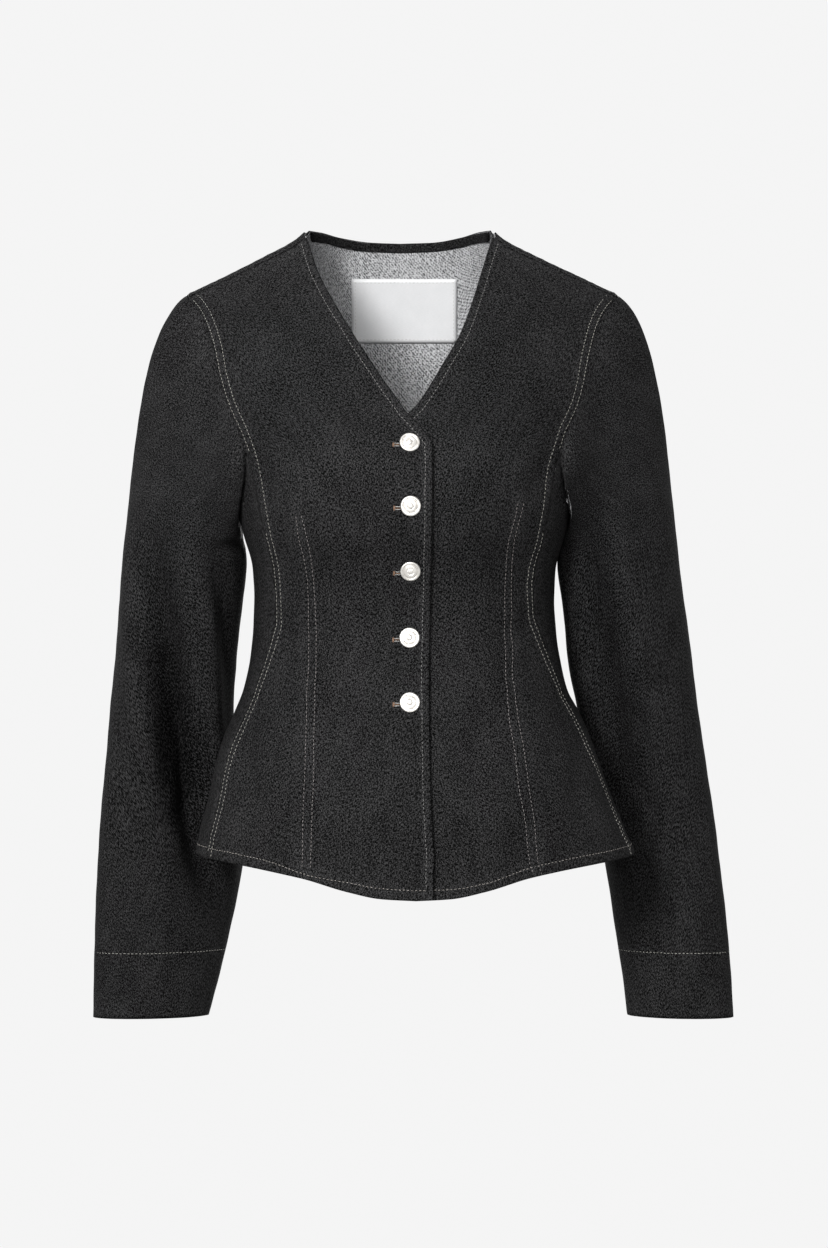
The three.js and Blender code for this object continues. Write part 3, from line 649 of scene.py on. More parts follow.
def shell(
    grid: Grid, thickness: float, inner_extra: Array | float = 0.0, turned_in: tuple[int, int] = (0, 0)
) -> Patch:
    """A closed sheet of cloth from its outer face, with a softly rounded rim.

    Args:
        grid: the outer face.
        thickness: how thick the cloth is.
        inner_extra: what the inner face lies deeper, such as at a turned hem.
        turned_in: how many first rows and columns show the outer face inside too, as a turned edge does.

    Returns:
        The patch, with outer faces in slot 0, inner faces in slot 1 and the rim in slot 0.
    """
    rows, columns = grid.points.shape[:2]
    total = rows * columns
    depth = np.broadcast_to(thickness + np.asarray(inner_extra), (rows, columns))
    outer = grid.points.reshape(-1, 3)
    inner = (grid.points - grid.normals * depth[..., None]).reshape(-1, 3)
    index = np.arange(total).reshape(rows, columns)
    if grid.round:
        index = np.concatenate([index, index[:, :1]], axis=1)
    a, b = index[:-1, :-1], index[:-1, 1:]
    d, e = index[1:, :-1], index[1:, 1:]
    quads = np.stack([a, b, e, d], axis=-1).reshape(-1, 4)
    middle = (rows // 2, columns // 2)
    cross = np.cross(
        grid.points[middle[0], middle[1] + 1] - grid.points[middle],
        grid.points[middle[0] + 1, middle[1]] - grid.points[middle],
    )
    faces_out = np.dot(cross, grid.normals[middle]) > 0
    if not faces_out:
        quads = quads[:, ::-1]
    back = quads[:, ::-1] + total
    faces = quads.tolist() + back.tolist()
    inside = np.ones((rows - 1, len(back) // (rows - 1)), dtype=int)
    inside[: turned_in[0]] = 0
    inside[:, : turned_in[1]] = 0
    slots = [0] * len(quads) + inside.ravel().tolist()
    u = grid.across - grid.across[:, columns // 2 : columns // 2 + 1]
    uv = np.stack([u, -grid.down], axis=-1).reshape(-1, 2)
    wear = grid.wear.ravel()
    points = [outer, inner]
    uvs = [uv, uv]
    wear_and_shade_parts = [wear, wear * 0]
    count = 2 * total
    rims = []
    if grid.round:
        rims = [index[0], index[-1][::-1]]
    else:
        loop = np.concatenate([index[0], index[1:, -1], index[-1, ::-1][1:], index[-2::-1, 0]])
        rims = [loop]
    for line in rims:
        ring = line[:-1]
        following = np.roll(ring, -1)
        here = (outer[ring] + inner[ring]) / 2
        along = unit(outer[following] - outer[np.roll(ring, 1)])
        face = unit(outer[ring] - inner[ring])
        away = np.cross(face, along)
        centre_side = away if faces_out else -away
        half = np.linalg.norm(outer[ring] - inner[ring], axis=-1, keepdims=True) / 2
        middle_points = here - centre_side * half * -0.7
        points.append(middle_points)
        uvs.append(uv[ring])
        wear_and_shade_parts.append(wear[ring] + 0.5)
        own = count + np.arange(len(ring))
        count += len(ring)
        for i, (start, end) in enumerate(zip(ring, following)):
            j = (i + 1) % len(ring)
            first = (end, start, own[i], own[j])
            second = (own[j], own[i], start + total, end + total)
            if not faces_out:
                first, second = first[::-1], second[::-1]
            faces += [tuple(int(k) for k in first), tuple(int(k) for k in second)]
            slots += [0, 0]
    return Patch(np.concatenate(points), faces, slots, np.concatenate(uvs), np.concatenate(wear_and_shade_parts))


def front_grid(side: Side) -> Grid:
    """Places on one front panel, from the shoulder seam down to the hem."""
    edge = FORM.edge(side)
    distance = spaced(NECK_POINT_X, TIP_X, CLOTH_STEP)
    shoulder_z = seam_height(distance) - SEAM_GAP / 2
    outer = np.minimum(distance, TIP_X - TIP_INSET)
    arm_z = spaced(shoulder_z[-1], JUNCTION_Z)[1:-1]
    upper_z = np.concatenate([shoulder_z, arm_z])
    outer = np.concatenate([outer, FORM.front_armhole(arm_z)])
    z = np.concatenate([upper_z, ROWS.nominal])
    start = np.arcsin((edge(z) - FORM.lean(z)) / FORM.half(z))
    end_upper = np.arcsin(side.value * outer / FORM.half(upper_z))
    end_lower = side.value * FORM.side_front_turn(ROWS.nominal, side, -SEAM_GAP / 2)
    end = np.concatenate([end_upper, end_lower])
    ends = np.stack([FORM.by_turn(mix(start, end, t), z)[0] for t in np.linspace(0, 1, 9)])
    width = np.linalg.norm(np.diff(ends, axis=0), axis=-1).sum(axis=0)
    turn = mix(start[:, None], end[:, None], near_edges(width, DART_STEP))
    lower = ROWS.height(turn[len(upper_z):])
    height = np.concatenate([np.broadcast_to(upper_z[:, None], turn[: len(upper_z)].shape), lower])
    points, normals = FORM.by_turn(turn, height)
    if side is Side.LEFT:
        inset = 1 - smooth_step(points[..., 0], UNDER_FULL_X, UNDER_NONE_X)
        inset = inset * (1 - smooth_step(points[..., 2], UNDER_FULL_Z, UNDER_NONE_Z))
        points = points - normals * (UNDER_DEPTH * inset)[..., None]
    return Grid(points, normals)


def side_top(share: Array) -> Array:
    """Height of the side panel's top edge, by share of its width."""
    return mix(JUNCTION_Z, UNDERARM_Z, np.sin(np.pi * share) ** UNDERARM_POWER)


def side_grid(side: Side) -> Grid:
    """Places on one side panel, from the underarm down to the hem."""
    z = ROWS.nominal
    start = FORM.side_front_turn(z, side, SEAM_GAP / 2)
    end = FORM.side_back_turn(z, -SEAM_GAP / 2)
    width = (end - start) * FORM.reach((start + end) / 2, z)
    share = near_edges(width, CLOTH_STEP)
    turn = mix(start[:, None], end[:, None], share)
    height = ROWS.height(turn)
    fall = np.clip((JUNCTION_Z - z) / (JUNCTION_Z - UNDERARM_END_Z), 0, 1)[:, None]
    raised = mix(side_top(share), UNDERARM_END_Z, fall)
    height = np.where(z[:, None] > UNDERARM_END_Z, raised, height)
    points, normals = FORM.by_turn(side.value * turn, height)
    return Grid(points, normals)


def upper_back(share: Array, rise: Array) -> tuple[Array, Array]:
    """Points of the back above the armhole's foot, by share of the width and rise."""
    distance = np.abs(share)
    own = share * FORM.back_armhole(mix(JUNCTION_Z, -SHOULDER_DROP, rise))
    own_top = distance * TIP_X
    in_neck = own_top < NECK_POINT_X - SLOPE_STEP
    top = np.where(in_neck, FORM.back_neck(own_top) - NECK_SEAM_DROP, shoulder_line(own_top))
    z = np.minimum(mix(JUNCTION_Z, top, rise), shoulder_line(np.abs(own)))
    return FORM.by_x(own + FORM.lean(z), z, True)


def back_grid() -> Grid:
    """Places on the back, from the shoulder seams and neck down to the hem."""
    half = np.concatenate([spaced(0, NECK_POINT_X / TIP_X, 0.0195), spaced(NECK_POINT_X / TIP_X, 1, 0.0195)[1:]])
    share = np.concatenate([-half[:0:-1], half])
    own = share * TIP_X
    distance = np.abs(own)
    in_neck = distance < NECK_POINT_X - SLOPE_STEP
    parts = []
    for t in (1.0, 0.75, 0.5, 0.25):
        z_neck = FORM.back_neck(distance) - NECK_SEAM_DROP * (1 - t)
        z_seam = shoulder_line(distance) - (shoulder_line(distance) - seam_height(distance) - SEAM_GAP / 2) * t**2
        z = np.where(in_neck, z_neck, z_seam)
        x = np.where(in_neck, own, np.sign(own) * np.minimum(distance, TIP_X - TIP_INSET * t))
        parts.append(FORM.by_x(x + FORM.lean(z), z, in_neck))
    rise = np.sin(np.pi / 2 * spaced(1, 0, CLOTH_STEP / 190))[:-1]
    for value in rise:
        parts.append(upper_back(share, value))
    z = ROWS.nominal
    widest = np.sin(FORM.side_back_turn(z, SEAM_GAP / 2))
    turn = np.pi - np.arcsin(share[None, :] * widest[:, None])
    low_points, low_normals = FORM.by_turn(turn, ROWS.height(turn))
    points = np.concatenate([np.stack([p for p, _ in parts]), low_points])
    normals = np.concatenate([np.stack([n for _, n in parts]), low_normals])
    return Grid(points, normals)


def soften_round(values: Array, width: int) -> Array:
    """Values round a ring, averaged with their neighbours on both sides."""
    weights = np.exp(-((np.arange(-2 * width, 2 * width + 1) / width) ** 2))
    weights = weights / weights.sum()
    return sum(w * np.roll(values, k - 2 * width, axis=0) for k, w in enumerate(weights))


def armhole_ring(side: Side) -> tuple[Array, Array]:
    """Places round one armhole: down the front, under the arm and up the back."""
    tip_z = float(seam_height(TIP_X))
    z = spaced(tip_z, JUNCTION_Z)[:-1]
    x = np.minimum(FORM.front_armhole(z), TIP_X - TIP_INSET)
    front = FORM.by_x(side.value * x + FORM.lean(z), z, False)
    share = (1 - np.cos(np.pi * np.linspace(0, 1, 40))) / 2
    start = FORM.side_front_turn(JUNCTION_Z, side)
    end = FORM.side_back_turn(JUNCTION_Z)
    under = FORM.by_turn(side.value * mix(start, end, share), side_top(share))
    rise = np.sin(np.pi / 2 * spaced(0, 1, CLOTH_STEP / 190))[1:]
    behind = upper_back(np.full(len(rise), float(side.value)), rise)
    points = np.concatenate([front[0], under[0], behind[0]])
    return points, np.concatenate([front[1], under[1], behind[1]])


def sleeve_section(side: Side, z: Array, angle: Array) -> Array:
    """Points of a sleeve's section: angle 0 is outside, a quarter in front, a half by the body."""
    rows = SLEEVE_SECTIONS[side]
    value = {name: Profile(rows["z"], rows[name])(z) for name in ("outer", "inner", "back", "thick", "turn")}
    turn = np.radians(value["turn"])
    half = (value["outer"] - value["inner"]) / 2
    wide = np.sqrt(half**2 - (value["thick"] * np.sin(turn)) ** 2) / np.cos(turn)
    along = wide * np.cos(angle)
    forward = value["thick"] * np.sin(angle)
    x = (value["outer"] + value["inner"]) / 2 + along * np.cos(turn) - forward * np.sin(turn)
    y = value["back"] - along * np.sin(turn) - forward * np.cos(turn)
    return np.stack(np.broadcast_arrays(side.value * x, y, z), axis=-1)


def sleeve_grid(side: Side) -> tuple[Grid, Array]:
    """Places on one sleeve from its armhole to the cuff, with the angle of each column."""
    ring, normal = armhole_ring(side)
    lengths = np.linalg.norm(np.roll(ring, -1, axis=0) - ring, axis=-1)
    run = lengths[-1] / 2 + np.concatenate([[0], np.cumsum(lengths[:-1])])
    angle = 2 * np.pi * run / lengths.sum()
    tangent = unit(np.roll(ring, -1, axis=0) - np.roll(ring, 1, axis=0))
    tangent = unit(soften_round(tangent, 3))
    away = unit(np.cross(normal, tangent)) * side.value
    bend = np.radians(mix(TIP_BEND, UNDERARM_BEND, smooth_step(-ring[:, 2], -BEND_START_Z, -BEND_FULL_Z)))
    half = np.maximum(bend / 2, 0)[:, None]
    first = ring + away * ARMHOLE_GAP * np.cos(half) + normal * ARMHOLE_GAP * np.sin(half)
    bend = bend[:, None]
    leave = away * np.cos(bend) + normal * np.sin(bend)
    face = normal * np.cos(bend) - away * np.sin(bend)
    end = sleeve_section(side, np.full(len(ring), SLEEVE_JOIN_Z), angle)
    below = sleeve_section(side, np.full(len(ring), SLEEVE_JOIN_Z - SECTION_STEP), angle)
    rise = unit(end - below)
    span = np.linalg.norm(end - first, axis=-1, keepdims=True)
    pull_a = first + leave * SLEEVE_START_PULL * span
    pull_b = end + rise * SLEEVE_END_PULL * span
    steps = np.linspace(0, 1, 44) ** 1.25
    tuck = ring - away * TUCK - normal * (WALL + 0.1)
    head = [tuck, mix(tuck, ring, 0.7) - normal * 0.5]
    for t in steps:
        head.append((1 - t) ** 3 * first + 3 * t * (1 - t) ** 2 * pull_a + 3 * t**2 * (1 - t) * pull_b + t**3 * end)
    tube_z = spaced(SLEEVE_JOIN_Z, CUFF_Z)[1:]
    tube = [sleeve_section(side, np.full(len(ring), z), angle) for z in tube_z]
    points = np.stack(head + tube)
    amount = np.concatenate([np.zeros(RING_ROW), smooth_step(steps, 0.6, 1.0), np.ones(len(tube_z))])
    middle = points.mean(axis=1, keepdims=True)
    outward = points - middle
    outward[..., 2] = 0
    outward = unit(outward)
    height = fold_height(SLEEVE_FOLDS[side], "angle", np.degrees(angle)[None, :], points[..., 2])
    points = points + outward * (height * amount[:, None])[..., None]
    grid = Grid(points, np.broadcast_to(outward, points.shape).copy(), round=True)
    facing = grid.facing()
    facing[:RING_ROW] = normal
    facing[RING_ROW] = face
    grid.normals = facing
    return grid, angle


def distance_to(points: Array, line: Array) -> tuple[Array, Array]:
    """How far each point lies from a line, and how far along the line.

    Args:
        points: any array of points.
        line: the points of the line, in order.

    Returns:
        The distances and the lengths along the line.
    """
    flat = points.reshape(-1, 3)
    near = np.full(len(flat), np.inf)
    run = np.zeros(len(flat))
    done = 0.0
    for start, end in zip(line[:-1], line[1:]):
        step = end - start
        length = float(np.linalg.norm(step))
        if length < 1e-6:
            continue
        share = np.clip((flat - start) @ step / length**2, 0, 1)
        distance = np.linalg.norm(flat - start - share[:, None] * step, axis=-1)
        closer = distance < near
        near = np.where(closer, distance, near)
        run = np.where(closer, done + share * length, run)
        done += length
    return near.reshape(points.shape[:-1]), run.reshape(points.shape[:-1])


def waves(run: Array, seed: float, length: float) -> Array:
    """Uneven waves along a line, about -1 to 1."""
    bend = 1.4 * np.sin(run / (2.7 * length) + 3.1 * seed) + 0.9 * np.sin(run / (1.1 * length) + seed)
    main = np.sin(2 * np.pi * run / length + bend)
    return 0.7 * main + 0.3 * np.sin(2 * np.pi * run / (0.61 * length) + 2.2 * seed)


@dataclass
class Seam:
    """A sewn line: a ditch at the seam, a raised band beside it and sunk stitch rows.

    Sizes are in millimetres.
    """

    line: Array
    rows: tuple[float, ...] = (2.0, 8.0)
    ditch: float = 0.5
    band: float = 0.4
    pucker: float = 0.28
    pitch: float = 10.0
    seed: float = 1.0
    band_width: float | None = None

    def height(self, points: Array) -> tuple[Array, Array]:
        """Height of the relief and how worn it looks, at each point."""
        distance, run = distance_to(points, self.line)
        width = self.band_width or (max(self.rows) + 1.2 if self.rows else 3.0)
        on = smooth_step(distance, -0.6, 1.2) * (1 - smooth_step(distance, width, width + 1.8))
        height = self.band * on - self.ditch * bump(distance, 0, 1.0)
        for row in self.rows:
            height = height - 0.2 * bump(distance, row, 0.9)
        wave = waves(run, self.seed, self.pitch)
        height = height + self.pucker * wave * bump(distance, 0.5 * width, 0.8 * width)
        # Height of the relief and the tone change of its faded band and dark ditch, at each point.
        wear = on * (0.35 + 0.35 * wave) - 0.7 * bump(distance, 0, 1.3)
        return height, wear


@dataclass
class Crease:
    """A soft trough, or a ridge, laid between places seen from the front or back."""

    path: tuple[tuple[float, float], ...]
    width: float
    depth: float
    behind: bool = False
    sharp: float = 2.0

    def height(self, grid: Grid) -> tuple[Array, Array]:
        """Height of the crease at each point of a grid, and its painted shade: a darker colour along a trough, a
        painted highlight along a ridge.
        """
        if grid.round:
            line = self.on_sleeve(grid)
        else:
            x, z = np.array(self.path, dtype=float).T
            line = FORM.by_x(x, z, self.behind)[0]
        line = soft_line(line)
        distance, run = distance_to(grid.points, line)
        whole = float(np.linalg.norm(np.diff(line, axis=0), axis=-1).sum())
        fade = np.clip(np.sin(np.pi * np.clip(run / whole, 0, 1)), 0, 1) ** 0.8
        trough = np.exp(-((distance / self.width) ** self.sharp))
        rim = 0.4 * bump(distance, 1.9 * self.width, 0.9 * self.width)
        # Painted shade: the colour darkens along a trough and lightens along a ridge as a painted highlight.
        return self.depth * fade * (trough - rim), CREASE_SHADE_AND_HIGHLIGHT * self.depth * fade * trough

    def on_sleeve(self, grid: Grid) -> Array:
        """The places of the path on the front or the back of a sleeve."""
        facing = grid.normals[..., 1] > 0 if self.behind else grid.normals[..., 1] < 0
        line = []
        for x, z in self.path:
            away = (grid.points[..., 0] - x) ** 2 + (grid.points[..., 2] - z) ** 2
            away = np.where(facing, away, np.inf)
            line.append(grid.points[np.unravel_index(np.argmin(away), away.shape)])
        return np.array(line)


def soft_line(line: Array) -> Array:
    """A smooth line through a few points, with 40 steps."""
    step = np.linalg.norm(np.diff(line, axis=0), axis=-1)
    at = np.concatenate([[0], np.cumsum(np.maximum(step, 1e-3))])
    wanted = np.linspace(0, at[-1], 41)
    return np.stack([Profile(at, line[:, i])(wanted) for i in range(3)], axis=-1)


def unevenness(grid: Grid, seed: float, amount: float) -> Array:
    """Broad, faint waves that keep the cloth from looking machined."""
    x, y, z = np.moveaxis(grid.points, -1, 0)
    total = np.zeros(x.shape)
    for i, (a, b, c) in enumerate(((0.051, 0.043, 0.019), (-0.033, 0.047, 0.037), (0.071, -0.029, 0.053), (0.023, 0.067, -0.061))):
        total = total + np.sin(a * x + b * y + c * z + seed * (i + 1.7)) / 4
    fine = np.sin(0.13 * x + 0.09 * z + seed) * np.sin(0.11 * z - 0.12 * y + 2 * seed)
    return amount * (total + 0.3 * fine)


def dress(grid: Grid, seams: list[Seam], creases: list[Crease]) -> None:
    """Gives a grid its seams, creases and faint waves.

    Args:
        grid: the piece, which is changed.
        seams: the sewn lines on it.
        creases: the troughs and ridges on it.
    """
    height = unevenness(grid, 1.0, 0.6)
    wear = np.zeros(height.shape)
    for seam in seams:
        rise, worn_and_shaded = seam.height(grid.points)
        height = height + rise
        wear = wear + worn_and_shaded
    # Creases paint shade into their troughs and a highlight onto their ridges.
    for crease in creases:
        rise, worn_and_shaded = crease.height(grid)
        height = height + rise
        wear = wear + worn_and_shaded
    grid.wear = wear
    grid.raise_by(height)


# Materials


class Nodes:
    """A short way to lay out the nodes of one material."""

    def __init__(self, name: str) -> None:
        """Starts a material that has only its Principled node."""
        self.material = bpy.data.materials.new(name)
        self.material.use_nodes = True
        self.tree = self.material.node_tree
        self.shader = self.tree.nodes["Principled BSDF"]

    def add(self, kind: str, **values) -> bpy.types.Node:
        """Adds a node; links go to sockets given by name, and other values are set."""
        node = self.tree.nodes.new(kind)
        for name, value in values.items():
            if hasattr(node, name) and not name.startswith("in_"):
                setattr(node, name, value)
                continue
            key = name[3:] if name.startswith("in_") else name
            socket = node.inputs[int(key)] if key.isdigit() else node.inputs[key.replace("_", " ")]
            self.put(socket, value)
        return node

    def put(self, socket: bpy.types.NodeSocket, value: object) -> None:
        """Sets a socket, or links it to another node's output."""
        if isinstance(value, bpy.types.NodeSocket):
            self.tree.links.new(value, socket)
        else:
            socket.default_value = value

    def math(self, operation: str, a: object, b: object = 0.0) -> bpy.types.NodeSocket:
        """One sum of two values."""
        return self.add("ShaderNodeMath", operation=operation, in_0=a, in_1=b).outputs[0]

    def mixed(self, factor: object, a: object, b: object) -> bpy.types.NodeSocket:
        """A colour between two colours."""
        node = self.add("ShaderNodeMix", data_type="RGBA")
        self.put(node.inputs[0], factor)
        self.put(node.inputs[6], a)
        self.put(node.inputs[7], b)
        return node.outputs[2]

    def ramp(self, value: object, low: float, high: float) -> bpy.types.NodeSocket:
        """The value spread from 0 at low to 1 at high, and held there."""
        node = self.add("ShaderNodeMapRange", clamp=True)
        self.put(node.inputs[0], value)
        self.put(node.inputs[1], low)
        self.put(node.inputs[2], high)
        return node.outputs[0]

    def scaled(self, vector: object, factors: tuple[float, float, float]) -> bpy.types.NodeSocket:
        """A place with its coordinates multiplied, which stretches a pattern."""
        node = self.add("ShaderNodeVectorMath", operation="MULTIPLY")
        self.put(node.inputs[0], vector)
        self.put(node.inputs[1], factors)
        return node.outputs[0]

    def noise(self, vector: object, scale: float, detail: float = 2.0) -> bpy.types.NodeSocket:
        """A cloudy pattern at a scale."""
        node = self.add("ShaderNodeTexNoise")
        self.put(node.inputs["Vector"], vector)
        self.put(node.inputs["Scale"], scale)
        self.put(node.inputs["Detail"], detail)
        return node.outputs["Fac"]


def grey(level: float, tint: tuple[float, float, float] = (1.0, 1.0, 1.0)) -> tuple[float, float, float, float]:
    """A linear colour from a display level of 0 to 255 and a tint."""
    value = level / 255
    linear = value / 12.92 if value <= 0.04045 else ((value + 0.055) / 1.055) ** 2.4
    return (linear * tint[0], linear * tint[1], linear * tint[2], 1.0)


@dataclass(frozen=True)
class TwillFinish:
    """A twill cloth: its yarns run on a slant over the weave, with grain, fading from rubbing, and painted shade and
    highlight along the creases.

    Sizes are in metres.
    """

    name: str
    dark: float
    light: float
    tint: tuple[float, float, float]
    pitch: float = 0.0011
    slant: float = 63.0
    contrast: float = 1.0
    relief: float = 0.0003
    roughness: float = 0.9
    sheen: float = 0.008
    gloss: float = 0.05
    grain: float = 620.0
    clouds: float = 0.13
    floor: float = 0.2
    span: float = 1.1

    def build(self) -> bpy.types.Material:
        """Makes the material on the piece's own cloth UV map and its attribute of rub fading and painted crease
        shade.
        """
        n = Nodes(self.name)
        uv = n.add("ShaderNodeUVMap", uv_map="cloth").outputs[0]
        turned = n.add("ShaderNodeVectorRotate", rotation_type="Z_AXIS")
        n.put(turned.inputs["Vector"], uv)
        n.put(turned.inputs["Angle"], math.radians(self.slant))
        wobble = n.add("ShaderNodeTexNoise")
        n.put(wobble.inputs["Vector"], uv)
        n.put(wobble.inputs["Scale"], 900.0)
        n.put(wobble.inputs["Detail"], 2.0)
        shift = n.add("ShaderNodeVectorMath", operation="MULTIPLY_ADD")
        n.put(shift.inputs[0], wobble.outputs["Color"])
        n.put(shift.inputs[1], (0.0005, 0.0005, 0.0))
        n.put(shift.inputs[2], turned.outputs[0])
        split = n.add("ShaderNodeSeparateXYZ")
        n.put(split.inputs[0], shift.outputs[0])
        wave = n.math("SINE", n.math("MULTIPLY", split.outputs[0], 2 * math.pi / self.pitch))
        ridge = n.math("MULTIPLY_ADD", wave, 0.5)
        ridge.node.inputs[2].default_value = 0.5
        warp = n.noise(n.scaled(uv, (1.0, 0.32, 1.0)), self.grain, 1.0)
        weft = n.noise(n.scaled(uv, (0.42, 1.0, 1.0)), self.grain, 1.0)
        grain = n.math("ADD", n.math("MULTIPLY", warp, 0.55), n.math("MULTIPLY", weft, 0.45))
        slub = n.noise(n.scaled(uv, (1.0, 0.07, 1.0)), 0.28 * self.grain, 2.0)
        patch = n.noise(n.scaled(uv, (1.0, 0.6, 1.0)), 45.0, 4.0)
        cloud = n.noise(uv, 13.0, 3.0)
        worn_and_shaded = n.add("ShaderNodeAttribute", attribute_name="wear").outputs["Fac"]
        speck = n.ramp(grain, 0.44, 0.6)
        tone = n.math("MULTIPLY_ADD", ridge, 0.22 * self.contrast)
        n.put(tone.node.inputs[2], n.math("MULTIPLY", speck, 0.95))
        tone = n.math("ADD", tone, n.math("MULTIPLY", n.ramp(slub, 0.3, 0.7), 0.2))
        tone = n.math("ADD", tone, n.math("MULTIPLY", n.ramp(patch, 0.3, 0.7), self.clouds))
        tone = n.math("ADD", tone, n.math("MULTIPLY", n.ramp(cloud, 0.3, 0.7), self.clouds))
        # Painted shade and highlight from the creases, with real fading on seam bands and rims, shift the tone.
        tone = n.math("ADD", tone, n.math("MULTIPLY", worn_and_shaded, 0.12))
        share = n.ramp(tone, self.floor, self.floor + self.span)
        colour = n.mixed(share, grey(self.dark, self.tint), grey(self.light, self.tint))
        n.put(n.shader.inputs["Base Color"], colour)
        n.put(n.shader.inputs["Roughness"], n.math("SUBTRACT", self.roughness + 0.05, n.math("MULTIPLY", slub, 0.1)))
        n.shader.inputs["Sheen Weight"].default_value = self.sheen
        n.shader.inputs["Sheen Roughness"].default_value = 0.6
        n.shader.inputs["Specular IOR Level"].default_value = self.gloss
        height = n.math("ADD", n.math("MULTIPLY", ridge, 0.6), n.math("MULTIPLY", grain, 0.9))
        relief = n.add("ShaderNodeBump")
        relief.inputs["Strength"].default_value = 0.7
        relief.inputs["Distance"].default_value = self.relief
        n.put(relief.inputs["Height"], height)
        n.put(n.shader.inputs["Normal"], relief.outputs[0])
        return n.material


@dataclass(frozen=True)
class SatinFinish:
    """A smooth woven satin with a soft shine across its yarns."""

    name: str = "satin_blank"
    level: float = 228.0

    def build(self) -> bpy.types.Material:
        """Makes the material on the piece's own UV map."""
        n = Nodes(self.name)
        uv = n.add("ShaderNodeUVMap", uv_map="cloth").outputs[0]
        stretch = n.add("ShaderNodeVectorMath", operation="MULTIPLY")
        n.put(stretch.inputs[0], uv)
        n.put(stretch.inputs[1], (0.15, 1.0, 1.0))
        yarn = n.noise(stretch.outputs[0], 2600.0, 2.0)
        cloud = n.noise(uv, 60.0, 2.0)
        tone = n.math("ADD", n.math("MULTIPLY", yarn, 0.6), n.math("MULTIPLY", cloud, 0.4))
        share = n.ramp(tone, 0.25, 0.75)
        dark = grey(self.level - 4, (0.98, 0.99, 1.0))
        n.put(n.shader.inputs["Base Color"], n.mixed(share, dark, grey(self.level + 10, (0.99, 0.99, 1.0))))
        n.put(n.shader.inputs["Roughness"], n.math("MULTIPLY_ADD", yarn, 0.15))
        n.shader.inputs["Roughness"].links[0].from_node.inputs[2].default_value = 0.32
        n.shader.inputs["Specular IOR Level"].default_value = 0.5
        relief = n.add("ShaderNodeBump")
        relief.inputs["Strength"].default_value = 0.3
        relief.inputs["Distance"].default_value = 0.0002
        n.put(relief.inputs["Height"], yarn)
        n.put(n.shader.inputs["Normal"], relief.outputs[0])
        return n.material


@dataclass(frozen=True)
class ThreadFinish:
    """A twisted sewing thread."""

    name: str
    colour: tuple[float, float, float, float]

    def build(self) -> bpy.types.Material:
        """Makes the material on object coordinates."""
        n = Nodes(self.name)
        place = n.add("ShaderNodeTexCoord").outputs["Object"]
        fleck = n.noise(place, 1800.0, 2.0)
        patch = n.noise(place, 60.0, 2.0)
        tone = n.math("ADD", n.math("MULTIPLY", fleck, 0.6), n.math("MULTIPLY", patch, 0.5))
        share = n.ramp(tone, 0.3, 0.8)
        dark = tuple(0.45 * value for value in self.colour[:3]) + (1.0,)
        n.put(n.shader.inputs["Base Color"], n.mixed(share, dark, self.colour))
        n.put(n.shader.inputs["Roughness"], n.math("MULTIPLY_ADD", fleck, 0.2))
        n.shader.inputs["Roughness"].links[0].from_node.inputs[2].default_value = 0.45
        return n.material


@dataclass(frozen=True)
class MetalFinish:
    """Brushed and slightly tarnished metal for the buttons."""

    name: str = "button_metal_warm"

    def build(self) -> bpy.types.Material:
        """Makes the material on object coordinates."""
        n = Nodes(self.name)
        place = n.add("ShaderNodeTexCoord").outputs["Object"]
        fine = n.noise(place, 2200.0, 2.0)
        patch = n.noise(place, 240.0, 3.0)
        share = n.ramp(patch, 0.3, 0.75)
        colour = n.mixed(share, grey(188, (1.0, 0.96, 0.9)), grey(232, (1.0, 0.975, 0.93)))
        n.put(n.shader.inputs["Base Color"], colour)
        n.shader.inputs["Metallic"].default_value = 1.0
        n.put(n.shader.inputs["Roughness"], n.math("MULTIPLY_ADD", fine, 0.15))
        n.shader.inputs["Roughness"].links[0].from_node.inputs[2].default_value = 0.36
        relief = n.add("ShaderNodeBump")
        relief.inputs["Strength"].default_value = 0.15
        relief.inputs["Distance"].default_value = 0.0001
        n.put(relief.inputs["Height"], fine)
        n.put(n.shader.inputs["Normal"], relief.outputs[0])
        return n.material


CHARCOAL = TwillFinish(
    "denim_charcoal",
    0,
    73,
    (1.0, 0.99, 1.01),
    relief=0.00016,
    roughness=0.7,
    sheen=0.0,
    gloss=0.035,
    grain=1400.0,
    floor=0.48,
    span=1.1,
)
REVERSE = TwillFinish(
    "denim_reverse", 66, 204, (0.99, 0.995, 1.015), pitch=0.0022, slant=-40.0, contrast=2.4, grain=900.0
)


@dataclass
class Cloth:
    """One cut piece of cloth: its places, thickness, flat size and the solid it stands for."""

    node: str
    flat: tuple[float, float]
    area: float
    grid: Grid
    slot: str = "denim"
    thickness: float = 1.3
    inner_extra: Array | float = 0.0
    turned_in: tuple[int, int] = (0, 0)

    def build(self, materials: list[bpy.types.Material]) -> bpy.types.Object:
        """Makes the piece, hides the solid part it stands for and logs its face count.

        Args:
            materials: the finish of the outer face, then of the inner face.

        Returns:
            The finished object.
        """
        patch = shell(self.grid, self.thickness, self.inner_extra, self.turned_in)
        piece = patch.build(f"{self.node}_cloth", materials)
        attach(piece, BODY)
        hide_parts(self.node)
        LOG.info("%s: %d faces", piece.name, len(piece.data.polygons))
        return piece


def panel_under(panel: Grid, rows: slice, columns: slice, depth: float) -> Grid:
    """Part of a panel's places, moved in by a depth."""
    points = panel.points[rows, columns] - panel.normals[rows, columns] * depth
    return Grid(points, panel.normals[rows, columns].copy())


